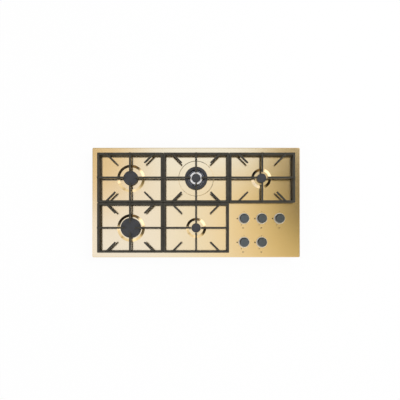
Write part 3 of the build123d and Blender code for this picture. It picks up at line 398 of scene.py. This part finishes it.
bpy.ops.object.select_all(action="DESELECT")
bpy.ops.mesh.primitive_plane_add(size=floor_size, location=(0, 0, cad_low.z - floor_gap))
floor = bpy.context.object
floor.name = "floor"
floor_finish = bpy.data.materials.new("pale_floor")
floor_finish.use_nodes = True
floor_tree = floor_finish.node_tree
floor_tree.nodes.clear()
floor_out = add_node(floor_tree, "ShaderNodeOutputMaterial")
floor_matt = add_node(floor_tree, "ShaderNodeBsdfDiffuse", input_0=(0.92, 0.92, 0.92, 1.0))
floor_white = add_node(floor_tree, "ShaderNodeEmission", input_0=(1.0, 1.0, 1.0, 1.0))
floor_rays = add_node(floor_tree, "ShaderNodeLightPath")
seen_or_mirrored = add_node(floor_tree, "ShaderNodeMath", operation="MAXIMUM")
or_through_glass = add_node(floor_tree, "ShaderNodeMath", operation="MAXIMUM")
floor_share = add_node(floor_tree, "ShaderNodeMath", operation="MULTIPLY", input_1=white_share)
floor_mix = add_node(floor_tree, "ShaderNodeMixShader")
floor_tree.links.new(floor_rays.outputs["Is Camera Ray"], seen_or_mirrored.inputs[0])
floor_tree.links.new(floor_rays.outputs["Is Glossy Ray"], seen_or_mirrored.inputs[1])
floor_tree.links.new(seen_or_mirrored.outputs["Value"], or_through_glass.inputs[0])
floor_tree.links.new(floor_rays.outputs["Is Transmission Ray"], or_through_glass.inputs[1])
floor_tree.links.new(or_through_glass.outputs["Value"], floor_share.inputs[0])
floor_tree.links.new(floor_share.outputs["Value"], floor_mix.inputs["Fac"])
floor_tree.links.new(floor_matt.outputs["BSDF"], floor_mix.inputs[1])
floor_tree.links.new(floor_white.outputs["Emission"], floor_mix.inputs[2])
floor_tree.links.new(floor_mix.outputs["Shader"], floor_out.inputs["Surface"])
floor.data.materials.append(floor_finish)
print("floor", floor_size, "m")

# %% [markdown]
# ## Shared surface effects
#
# Real finishes are never one even colour. Five effects return on several pieces, so each is built once
# as a node group that puts out a mask between 0 and 1:
#
# - grain: fine cloudy unevenness, as on a casting or a rolled sheet
# - brushed lines: the same, drawn out along one direction
# - turned rings: fine rings round an axis, as a lathe or a spinning polish leaves them
# - spangle: the crystal pattern of galvanised sheet
# - gap shade: painted shade, none on a ring round an axis, and full to both sides of that ring
#
# Each material then decides what the mask does to its colour, its gloss and its relief.

# %% Node groups for the masks


def new_group(name, inputs):
    """An empty node group with a mask as its output."""
    group = bpy.data.node_groups.new(name, "ShaderNodeTree")
    for label, kind, value in inputs:
        socket = group.interface.new_socket(label, in_out="INPUT", socket_type=kind)
        if value is not None:
            socket.default_value = value
    group.interface.new_socket("Mask", in_out="OUTPUT", socket_type="NodeSocketFloat")
    enter = group.nodes.new("NodeGroupInput")
    leave = group.nodes.new("NodeGroupOutput")
    return group, enter, leave


def stretch_contrast(group, source, leave):
    """Spreads a noise value, which stays near its middle, over 0 to 1."""
    usual_low, usual_high = 0.30, 0.70
    spread = group.nodes.new("ShaderNodeMapRange")
    spread.inputs["From Min"].default_value = usual_low
    spread.inputs["From Max"].default_value = usual_high
    group.links.new(source, spread.inputs["Value"])
    group.links.new(spread.outputs["Result"], leave.inputs["Mask"])


def radius_round_axis(group, enter):
    """The distance from an upright axis."""
    centred = add_node(group, "ShaderNodeVectorMath", operation="SUBTRACT")
    flat = add_node(group, "ShaderNodeVectorMath", operation="MULTIPLY", input_1=(1.0, 1.0, 0.0))
    radius = add_node(group, "ShaderNodeVectorMath", operation="LENGTH")
    group.links.new(enter.outputs["Vector"], centred.inputs[0])
    group.links.new(enter.outputs["Axis"], centred.inputs[1])
    group.links.new(centred.outputs["Vector"], flat.inputs[0])
    group.links.new(flat.outputs["Vector"], radius.inputs[0])
    return radius.outputs["Value"]


def build_grain():
    group, enter, leave = new_group(
        "grain", [("Vector", "NodeSocketVector", None), ("Scale", "NodeSocketFloat", 400.0)]
    )
    noise = group.nodes.new("ShaderNodeTexNoise")
    noise.inputs["Detail"].default_value = 4.0
    noise.inputs["Roughness"].default_value = 0.6
    group.links.new(enter.outputs["Vector"], noise.inputs["Vector"])
    group.links.new(enter.outputs["Scale"], noise.inputs["Scale"])
    stretch_contrast(group, noise.outputs["Fac"], leave)
    return group


def build_brushed_lines():
    group, enter, leave = new_group(
        "brushed_lines",
        [("Vector", "NodeSocketVector", None), ("Stretch", "NodeSocketVector", (30.0, 3000.0, 3000.0))],
    )
    drawn_out = group.nodes.new("ShaderNodeVectorMath")
    drawn_out.operation = "MULTIPLY"
    noise = group.nodes.new("ShaderNodeTexNoise")
    noise.inputs["Scale"].default_value = 1.0
    noise.inputs["Detail"].default_value = 3.0
    group.links.new(enter.outputs["Vector"], drawn_out.inputs[0])
    group.links.new(enter.outputs["Stretch"], drawn_out.inputs[1])
    group.links.new(drawn_out.outputs["Vector"], noise.inputs["Vector"])
    stretch_contrast(group, noise.outputs["Fac"], leave)
    return group


def build_turned_rings():
    group, enter, leave = new_group(
        "turned_rings",
        [
            ("Vector", "NodeSocketVector", None),
            ("Axis", "NodeSocketVector", (0.0, 0.0, 0.0)),
            ("Rings per metre", "NodeSocketFloat", 2500.0),
        ],
    )
    noise = add_node(group, "ShaderNodeTexNoise", noise_dimensions="1D")
    noise.inputs["Detail"].default_value = 3.0
    group.links.new(radius_round_axis(group, enter), noise.inputs["W"])
    group.links.new(enter.outputs["Rings per metre"], noise.inputs["Scale"])
    stretch_contrast(group, noise.outputs["Fac"], leave)
    return group


def build_spangle():
    group, enter, leave = new_group(
        "spangle", [("Vector", "NodeSocketVector", None), ("Scale", "NodeSocketFloat", 90.0)]
    )
    crystals = group.nodes.new("ShaderNodeTexVoronoi")
    tone = group.nodes.new("ShaderNodeSeparateColor")
    group.links.new(enter.outputs["Vector"], crystals.inputs["Vector"])
    group.links.new(enter.outputs["Scale"], crystals.inputs["Scale"])
    group.links.new(crystals.outputs["Color"], tone.inputs["Color"])
    group.links.new(tone.outputs["Red"], leave.inputs["Mask"])
    return group


# A mask for painted shade: none on a ring round an axis, and full to both sides of that ring.
def build_soot():
    group, enter, leave = new_group(
        "soot",
        [
            ("Vector", "NodeSocketVector", None),
            ("Axis", "NodeSocketVector", (0.0, 0.0, 0.0)),
            ("Middle radius", "NodeSocketFloat", 0.05),
            ("Clean half width", "NodeSocketFloat", 0.010),
            ("Sooty half width", "NodeSocketFloat", 0.011),
        ],
    )
    offset = add_node(group, "ShaderNodeMath", operation="SUBTRACT")
    distance = add_node(group, "ShaderNodeMath", operation="ABSOLUTE")
    share = add_share(group, (0.0, 1.0))
    group.links.new(radius_round_axis(group, enter), offset.inputs[0])
    group.links.new(enter.outputs["Middle radius"], offset.inputs[1])
    group.links.new(offset.outputs["Value"], distance.inputs[0])
    group.links.new(distance.outputs["Value"], share.inputs["Value"])
    group.links.new(enter.outputs["Clean half width"], share.inputs["From Min"])
    group.links.new(enter.outputs["Sooty half width"], share.inputs["From Max"])
    group.links.new(share.outputs["Result"], leave.inputs["Mask"])
    return group


grain = build_grain()
brushed_lines = build_brushed_lines()
turned_rings = build_turned_rings()
spangle = build_spangle()
soot = build_soot()
print("node groups", [group.name for group in bpy.data.node_groups])

# %% [markdown]
# A finish is put together from the same few moves each time: start a material with its plain values,
# place a mask group in it, let a mask blend two colours, let it vary the roughness, and let it raise
# a fine relief. Each move is one small helper here. What stays the same all over a surface is set on
# the shader's own sockets.

# %% Helpers that put a finish together


class Finish:
    """A material with its Principled shader and the object's own coordinates."""

    def __init__(self, name, colour, metallic, roughness):
        self.material = bpy.data.materials.new(name)
        self.material.use_nodes = True
        self.tree = self.material.node_tree
        self.shader = self.tree.nodes["Principled BSDF"]
        self.shader.inputs["Base Color"].default_value = (*colour, 1.0)
        self.shader.inputs["Metallic"].default_value = metallic
        self.shader.inputs["Roughness"].default_value = roughness
        self.place = self.tree.nodes.new("ShaderNodeTexCoord").outputs["Object"]
        self.normal = None

    def mask(self, group, **values):
        """Places a mask group with its values, whose names have an underscore for each space."""
        node = self.tree.nodes.new("ShaderNodeGroup")
        node.node_tree = group
        self.tree.links.new(self.place, node.inputs["Vector"])
        for label, value in values.items():
            node.inputs[label.replace("_", " ")].default_value = value
        return node.outputs["Mask"]

    def blend_colours(self, mask, low, high):
        """Lets a mask blend two colours, and returns the blend for a further coat."""
        mix = add_node(self.tree, "ShaderNodeMix", data_type="RGBA")
        mix.inputs[mix_first].default_value = (*low, 1.0)
        mix.inputs[mix_second].default_value = (*high, 1.0)
        self.tree.links.new(mask, mix.inputs["Factor"])
        self.tree.links.new(mix.outputs[mix_result], self.shader.inputs["Base Color"])
        return mix.outputs[mix_result]

    def vary_roughness(self, mask, low, high):
        spread = self.tree.nodes.new("ShaderNodeMapRange")
        spread.inputs["To Min"].default_value = low
        spread.inputs["To Max"].default_value = high
        self.tree.links.new(mask, spread.inputs["Value"])
        self.tree.links.new(spread.outputs["Result"], self.shader.inputs["Roughness"])

    def raise_relief(self, mask, height, strength=1.0):
        bump = self.tree.nodes.new("ShaderNodeBump")
        bump.inputs["Distance"].default_value = height
        bump.inputs["Strength"].default_value = strength
        self.tree.links.new(mask, bump.inputs["Height"])
        if self.normal is not None:
            self.tree.links.new(self.normal, bump.inputs["Normal"])
        self.normal = bump.outputs["Normal"]
        self.tree.links.new(self.normal, self.shader.inputs["Normal"])


def shades(colour, amount):
    """A darker and a lighter shade of a colour."""
    return [tuple(channel * (1 + side * amount) for channel in colour) for side in (-1, 1)]


print("finishes are built from", [name for name in vars(Finish) if not name.startswith("_")])

# %% [markdown]
# ## The plate's champagne gold
#
# The plate is steel with a thin gold-coloured coat. It is glossy enough that the bars which stand on it
# show as clear mirror images, slightly softened. Very fine rubbing along its length changes that gloss
# a little and lifts a relief of a few thousandths of a millimetre.

# %% Plate and knob rings
gold = (0.81, 0.62, 0.350)


def champagne_gold():
    finish = Finish("champagne_gold", gold, 1.0, 0.15)
    clouds = finish.mask(grain, Scale=9.0)
    lines = finish.mask(brushed_lines, Stretch=(12.0, 2200.0, 2200.0))
    finish.blend_colours(clouds, *shades(gold, 0.012))
    finish.vary_roughness(lines, 0.135, 0.165)
    finish.raise_relief(lines, 0.000001, 0.2)
    return finish.material


def polished_ring():
    """The pale satin ring that each knob stands in."""
    tone = (0.88, 0.79, 0.62)
    finish = Finish("polished_ring", tone, 1.0, 0.36)
    haze = finish.mask(grain, Scale=260.0)
    finish.blend_colours(haze, *shades(tone, 0.03))
    finish.vary_roughness(haze, 0.30, 0.42)
    return finish.material


print("gold", gold)

# %% [markdown]
# ## Cast pieces
#
# The pan supports are cast iron under a matt enamel: nearly black, with a fine pebbled skin from the
# sand mould. It hardly shines, so its specular level is low. The burner caps are pressed steel under a
# smoother grey enamel. The heads are die-cast aluminium that the flames have dulled.
#
# The big burner's casting and the inner edge of its ring cap are blackened with painted shade, which
# stands in for the deep gap round the burner, and each keeps an unshaded ring.

# %% Iron, enamel and cast aluminium
iron = (0.054, 0.050, 0.040)
cap_grey = (0.048, 0.048, 0.050)
# Painted shade round the big burner's deep gap: its black, its soft edge, and the ring on each piece that
# it leaves unshaded.
soot_tone = (0.012, 0.011, 0.010)
soot_edge = 0.0005
unshaded_ring_of_cap = (0.0485, 0.0100)    # its middle radius and half width
unshaded_ring_of_crown = (0.0248, 0.0042)


def enamelled_iron():
    finish = Finish("enamelled_iron", iron, 0.0, 0.55)
    finish.shader.inputs["Specular IOR Level"].default_value = 0.15
    clouds = finish.mask(grain, Scale=45.0)
    pebbles = finish.mask(grain, Scale=900.0)
    finish.blend_colours(clouds, *shades(iron, 0.18))
    finish.vary_roughness(pebbles, 0.46, 0.66)
    finish.raise_relief(pebbles, 0.00012, 0.6)
    return finish.material


def add_soot(finish, clean, middle_radius, half_width):
    """Paints shade: blackens a colour on all that lies off a ring round the big burner's axis."""
    axis = burner_axes["back_centre"]
    mask = finish.mask(
        soot,
        Axis=(axis.x, axis.y, 0.0),
        Middle_radius=middle_radius,
        Clean_half_width=half_width - soot_edge,
        Sooty_half_width=half_width + soot_edge,
    )
    mix = add_node(finish.tree, "ShaderNodeMix", data_type="RGBA")
    mix.inputs[mix_second].default_value = (*soot_tone, 1.0)
    finish.tree.links.new(mask, mix.inputs["Factor"])
    finish.tree.links.new(clean, mix.inputs[mix_first])
    finish.tree.links.new(mix.outputs[mix_result], finish.shader.inputs["Base Color"])


def cap_enamel(name):
    """The caps' enamel, and its colour for a further coat."""
    finish = Finish(name, cap_grey, 0.0, 0.42)
    finish.shader.inputs["Specular IOR Level"].default_value = 0.35
    clouds = finish.mask(grain, Scale=60.0)
    orange_peel = finish.mask(grain, Scale=520.0)
    colours = finish.blend_colours(clouds, *shades(cap_grey, 0.10))
    finish.vary_roughness(clouds, 0.36, 0.48)
    finish.raise_relief(orange_peel, 0.00003, 0.5)
    return finish, colours


def plain_cap():
    return cap_enamel("cap_enamel")[0].material


def ring_cap():
    """The big burner's ring cap, whose inner edge is blackened with painted shade."""
    finish, colours = cap_enamel("ring_cap_enamel")
    finish.shader.inputs["Specular IOR Level"].default_value = 0.15
    # painted shade on the ring cap's inner edge
    add_soot(finish, colours, *unshaded_ring_of_cap)
    return finish.material


def cast_head():
    tone = (0.40, 0.385, 0.36)
    finish = Finish("cast_head", tone, 1.0, 0.45)
    clouds = finish.mask(grain, Scale=70.0)
    skin = finish.mask(grain, Scale=1100.0)
    finish.blend_colours(clouds, *shades(tone, 0.22))
    finish.vary_roughness(skin, 0.38, 0.55)
    finish.raise_relief(skin, 0.00005, 0.5)
    return finish.material


def turned_crown():
    """The big burner's casting: a bright turned ledge, with black painted shade to both sides of it."""
    tone = (0.86, 0.80, 0.69)
    finish = Finish("turned_crown", tone, 1.0, 0.34)
    axis = burner_axes["back_centre"]
    rings = finish.mask(turned_rings, Axis=(axis.x, axis.y, 0.0), Rings_per_metre=2600.0)
    colours = finish.blend_colours(rings, *shades(tone, 0.08))
    # painted shade: blackens the casting off its bright ledge
    add_soot(finish, colours, *unshaded_ring_of_crown)
    finish.vary_roughness(rings, 0.27, 0.42)
    finish.raise_relief(rings, 0.00003, 0.5)
    return finish.material


print("iron", iron, "cap enamel", cap_grey)

# %% [markdown]
# ## Knobs
#
# The knobs are turned aluminium under a thin grey coat. Their faces carry very fine rings from the
# turning tool, each round its own knob's axis, so each knob has its own copy of the finish.

# %% Knob finish
knob_tone = (0.117, 0.131, 0.138)


def knob_coat(name):
    finish = Finish("knob_coat_" + name, knob_tone, 1.0, 0.25)
    axis = knob_axes[name]
    rings = finish.mask(turned_rings, Axis=(axis.x, axis.y, 0.0), Rings_per_metre=3200.0)
    finish.blend_colours(rings, *shades(knob_tone, 0.08))
    finish.vary_roughness(rings, 0.20, 0.30)
    finish.raise_relief(rings, 0.00001, 0.4)
    return finish.material


print("knob coat", knob_tone)

# %% [markdown]
# ## Metals under the plate
#
# Galvanised sheet shows its zinc crystals. Zinc-plated fasteners are evenly satin, drawn tubes have
# lines along them, and brass parts are turned.

# %% Sheet, zinc, brass and tube


def galvanised_sheet():
    tone = (0.55, 0.56, 0.57)
    finish = Finish("galvanised_sheet", tone, 1.0, 0.42)
    crystals = finish.mask(spangle, Scale=95.0)
    finish.blend_colours(crystals, *shades(tone, 0.12))
    finish.vary_roughness(crystals, 0.34, 0.52)
    finish.raise_relief(crystals, 0.00001, 0.3)
    return finish.material


def plain_metal(name, tone, roughness, size, relief):
    finish = Finish(name, tone, 1.0, roughness)
    skin = finish.mask(grain, Scale=size)
    finish.blend_colours(skin, *shades(tone, 0.08))
    finish.vary_roughness(skin, roughness - 0.07, roughness + 0.07)
    finish.raise_relief(skin, relief, 0.5)
    return finish.material


def drawn_metal(name, tone, roughness):
    finish = Finish(name, tone, 1.0, roughness)
    lines = finish.mask(brushed_lines, Stretch=(60.0, 2600.0, 2600.0))
    finish.blend_colours(lines, *shades(tone, 0.06))
    finish.vary_roughness(lines, roughness - 0.06, roughness + 0.06)
    finish.raise_relief(lines, 0.00001, 0.4)
    return finish.material


def moulded(name, tone, roughness, size, relief):
    """Rubber, foam and plastic: a matt skin whose texture the mould leaves."""
    finish = Finish(name, tone, 0.0, roughness)
    skin = finish.mask(grain, Scale=size)
    finish.blend_colours(skin, *shades(tone, 0.10))
    finish.vary_roughness(skin, roughness - 0.08, roughness + 0.08)
    finish.raise_relief(skin, relief, 0.6)
    return finish.material


print("makers of finishes", [maker.__name__ for maker in (plain_metal, drawn_metal, moulded)])

# %% [markdown]
# The record says which finish each solid piece has. One table turns the record's names into the
# finishes above, and every piece takes its own. The knobs have a copy each, and the ring cap has the
# enamel with the painted shade.

# %% Give every solid piece its finish
finishes = {
    "plate_gold": champagne_gold(),
    "bezel_polished": polished_ring(),
    "grate_iron": enamelled_iron(),
    "cap_enamel": plain_cap(),
    "head_aluminium": cast_head(),
    "wok_crown_metal": turned_crown(),
    "casing_steel": galvanised_sheet(),
    "zinc_steel": plain_metal("zinc_plate", (0.62, 0.62, 0.60), 0.34, 500.0, 0.00001),
    "cup_aluminium": plain_metal("cast_cup", (0.56, 0.56, 0.57), 0.48, 700.0, 0.00006),
    "tap_aluminium": plain_metal("cast_tap", (0.62, 0.62, 0.62), 0.44, 800.0, 0.00005),
    "brass": plain_metal("turned_brass", (0.72, 0.54, 0.25), 0.26, 600.0, 0.00001),
    "probe_copper": plain_metal("copper_probe", (0.55, 0.40, 0.30), 0.34, 500.0, 0.00001),
    "spindle_steel": drawn_metal("spindle_steel", (0.60, 0.60, 0.60), 0.28),
    "tube_aluminium": drawn_metal("drawn_tube", (0.72, 0.72, 0.72), 0.30),
    "rail_steel": drawn_metal("rail_steel", (0.64, 0.60, 0.46), 0.34),
    "ceramic_white": moulded("glazed_ceramic", (0.82, 0.80, 0.75), 0.18, 300.0, 0.00001),
    "seal_foam": moulded("seal_foam", (0.035, 0.035, 0.035), 0.85, 1500.0, 0.00020),
    "foot_rubber": moulded("foot_rubber", (0.03, 0.03, 0.03), 0.62, 900.0, 0.00006),
    "generator_plastic": moulded("ivory_plastic", (0.72, 0.70, 0.64), 0.46, 900.0, 0.00003),
    "terminal_plastic": moulded("black_plastic", (0.04, 0.04, 0.04), 0.42, 900.0, 0.00003),
}
ring_cap_finish = ring_cap()
finish_of = {row["node"]: row["material_slot"] for row in frame["record"]["subparts"]}
for node, solid in frame["nodes"].items():
    if node.startswith("knob_") and node != "knob_bezels":
        coat = knob_coat(node.removeprefix("knob_"))
    elif node == "ring_cap_back_centre":
        coat = ring_cap_finish
    else:
        coat = finishes[finish_of[node]]
    for slot in solid.material_slots:
        slot.material = coat
print("finished", len(frame["nodes"]), "solid pieces with", len(bpy.data.materials), "materials")

# %% [markdown]
# ## Printed marks
#
# Small symbols are printed on the plate round each knob: off at the top, the large flame at the left,
# the small flame below it, and a little map that says which burner the knob works. A picture could be
# laid on the plate for them. Here they are thin solid pieces instead, so they stay sharp and keep their
# shape when the model is exported. Each starts as a flat disc, is shaped in edit mode, and is then
# raised to the ink's thickness. Its foot is sunk by a hair's breadth, so that it never floats.

# %% Helpers for small shaped pieces
ink_height = 0.00008
ink_sunk = 0.00002


def start_disc(name, radius, corners):
    """A flat disc round the origin, the only thing selected."""
    bpy.ops.object.select_all(action="DESELECT")
    bpy.ops.mesh.primitive_circle_add(vertices=corners, radius=radius, fill_type="NGON", location=(0, 0, 0))
    piece = bpy.context.object
    piece.name = name
    return piece


def select_points(piece, wanted):
    """Enters edit mode with only the points selected whose place passes the test."""
    bpy.ops.object.mode_set(mode="EDIT")
    bpy.ops.mesh.select_mode(type="VERT")
    bpy.ops.mesh.select_all(action="DESELECT")
    bpy.ops.object.mode_set(mode="OBJECT")
    for point in piece.data.vertices:
        point.select = wanted(point.co)
    bpy.ops.object.mode_set(mode="EDIT")


def hollow_out(piece, wall):
    """Insets the flat face and removes its middle, which leaves an outline of that width."""
    bpy.ops.object.mode_set(mode="EDIT")
    bpy.ops.mesh.select_mode(type="FACE")
    bpy.ops.mesh.select_all(action="SELECT")
    bpy.ops.mesh.inset(thickness=wall)
    bpy.ops.mesh.delete(type="FACE")
    bpy.ops.object.mode_set(mode="OBJECT")


def raise_to(piece, height):
    """Gives a flat shape its thickness and turns all its faces outwards."""
    bpy.ops.object.mode_set(mode="EDIT")
    bpy.ops.mesh.select_all(action="SELECT")
    bpy.ops.mesh.extrude_region_move(TRANSFORM_OT_translate={"value": (0, 0, height)})
    bpy.ops.mesh.select_all(action="SELECT")
    bpy.ops.mesh.remove_doubles(threshold=0.000001)
    bpy.ops.mesh.normals_make_consistent(inside=False)
    bpy.ops.object.mode_set(mode="OBJECT")


def copy_to(piece, name, place):
    """A copy with its own mesh, moved to its place inside that mesh."""
    twin = piece.copy()
    twin.data = piece.data.copy()
    twin.name = name
    bpy.context.scene.collection.objects.link(twin)
    twin.data.transform(Matrix.Translation(place))
    return twin


print("ink stands", 1000 * (ink_height - ink_sunk), "mm above the plate")

# %% The shapes of the marks
mark_corners = 24
dot_corners = 16
off_radius = 0.0021
off_wall = 0.0008
large_flame_radius = 0.0032
small_flame_radius = 0.0021
off_place = (0.0, 0.0320)   # from the knob's axis, as all places of marks
large_flame_place = (-0.0318, -0.0008)
small_flame_place = (-0.0122, -0.0302)


def flame(name, radius):
    """A drop with its point to the rear. Lengths are in shares of its radius."""
    tip_level, tip_lift = 0.99, 0.95
    shoulder_level, shoulder_lift, shoulder_squeeze = 0.9, 0.40, 0.75
    piece = start_disc(name, radius, mark_corners)
    select_points(piece, lambda place: place.y > tip_level * radius)
    bpy.ops.transform.translate(value=(0, tip_lift * radius, 0))
    select_points(piece, lambda place: shoulder_level * radius < place.y < tip_level * radius)
    bpy.ops.transform.translate(value=(0, shoulder_lift * radius, 0))
    bpy.ops.transform.resize(value=(shoulder_squeeze, 1, 1))
    bpy.ops.object.mode_set(mode="OBJECT")
    raise_to(piece, ink_height)
    return piece


def off_ring():
    piece = start_disc("mark_off", off_radius, mark_corners)
    hollow_out(piece, off_wall)
    raise_to(piece, ink_height)
    return piece


def map_dot(name, radius):
    piece = start_disc(name, radius, dot_corners)
    raise_to(piece, ink_height)
    return piece


marks = {
    "off": (off_ring(), off_place),
    "large_flame": (flame("mark_large_flame", large_flame_radius), large_flame_place),
    "small_flame": (flame("mark_small_flame", small_flame_radius), small_flame_place),
}
print("marks", {name: len(shape.data.polygons) for name, (shape, place) in marks.items()})

# %% Print them beside every knob
map_place = (-0.0022, -0.0463)
map_pitch = 0.0030
small_dot_radius = 0.0009
large_dot_radius = 0.0023
burner_on_map = {
    "back_left": (-1, 1),
    "front_left": (-1, 0),
    "back_centre": (0, 1),
    "front_centre": (0, 0),
    "back_right": (1, 1),
}


def printed_ink():
    tone = (0.030, 0.024, 0.018)
    finish = Finish("printed_ink", tone, 0.0, 0.50)
    speckle = finish.mask(grain, Scale=2400.0)
    finish.blend_colours(speckle, *shades(tone, 0.25))
    finish.vary_roughness(speckle, 0.42, 0.60)
    finish.raise_relief(speckle, 0.000004, 0.4)
    return finish.material


def print_on_plate(shape, name, axis, place):
    """A mark beside a knob's axis, fixed to the plate."""
    where = (axis.x + place[0], axis.y + place[1], plate_top - ink_sunk)
    mark = copy_to(shape, name, where)
    mark.data.materials.append(ink)
    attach(mark, "hob")


ink = printed_ink()
small_dot = map_dot("map_dot_small", small_dot_radius)
large_dot = map_dot("map_dot_large", large_dot_radius)
for name, axis in knob_axes.items():
    for kind, (shape, place) in marks.items():
        print_on_plate(shape, "mark_" + kind + "_" + name, axis, place)
    for burner, (column, row) in burner_on_map.items():
        dot = large_dot if burner == name else small_dot
        spot = (map_place[0] + column * map_pitch, map_place[1] + row * map_pitch)
        print_on_plate(dot, "map_" + name + "_" + burner, axis, spot)
for shape in (small_dot, large_dot, *[shape for shape, place in marks.values()]):
    bpy.data.objects.remove(shape)
printed = [thing.name for thing in bpy.data.objects if thing.name.startswith(("mark_", "map_"))]
print("printed", len(printed), "marks")

# %% [markdown]
# ## Pointer inlays
#
# A short groove in each knob's face shows where the knob points. On the real knob it is filled with dark
# paint. The filling is a bar with rounded ends: a cube squeezed to the groove's size, whose upright
# edges are bevelled. It ends just under the face and turns with its knob.

# %% Fill the knobs' grooves
groove_width = 0.0014
groove_length = 0.0080
groove_depth = 0.0006
groove_play = 0.00003
groove_middle = 0.0133      # from the knob's axis
paint_drop = 0.0001         # how far the paint ends below the face
paint_corner = 0.0004

bpy.ops.object.select_all(action="DESELECT")
bpy.ops.mesh.primitive_cube_add(size=1.0, location=(0, 0, 0))
pointer = bpy.context.object
pointer.name = "pointer"
bpy.ops.object.mode_set(mode="EDIT")
bpy.ops.mesh.select_all(action="SELECT")
fill_size = (
    groove_width - 2 * groove_play,
    groove_length - 2 * groove_play,
    groove_depth - paint_drop,
)
bpy.ops.transform.resize(value=fill_size)
bpy.ops.mesh.select_mode(type="EDGE")
bpy.ops.mesh.select_all(action="DESELECT")
bpy.ops.object.mode_set(mode="OBJECT")
points = pointer.data.vertices
for edge in pointer.data.edges:
    first, second = [points[number].co for number in edge.vertices]
    edge.select = abs(first.z - second.z) > fill_size[2] / 2
bpy.ops.object.mode_set(mode="EDIT")
bpy.ops.mesh.bevel(offset=paint_corner, segments=3, affect="EDGES")
bpy.ops.object.mode_set(mode="OBJECT")
for name, axis in knob_axes.items():
    height = knob_face - groove_depth + fill_size[2] / 2
    inlay = copy_to(pointer, "pointer_" + name, (axis.x, axis.y + groove_middle, height))
    inlay.data.materials.append(ink)
    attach(inlay, "knob_" + name)
bpy.data.objects.remove(pointer)
print("pointer", [round(1000 * size, 2) for size in fill_size], "mm")
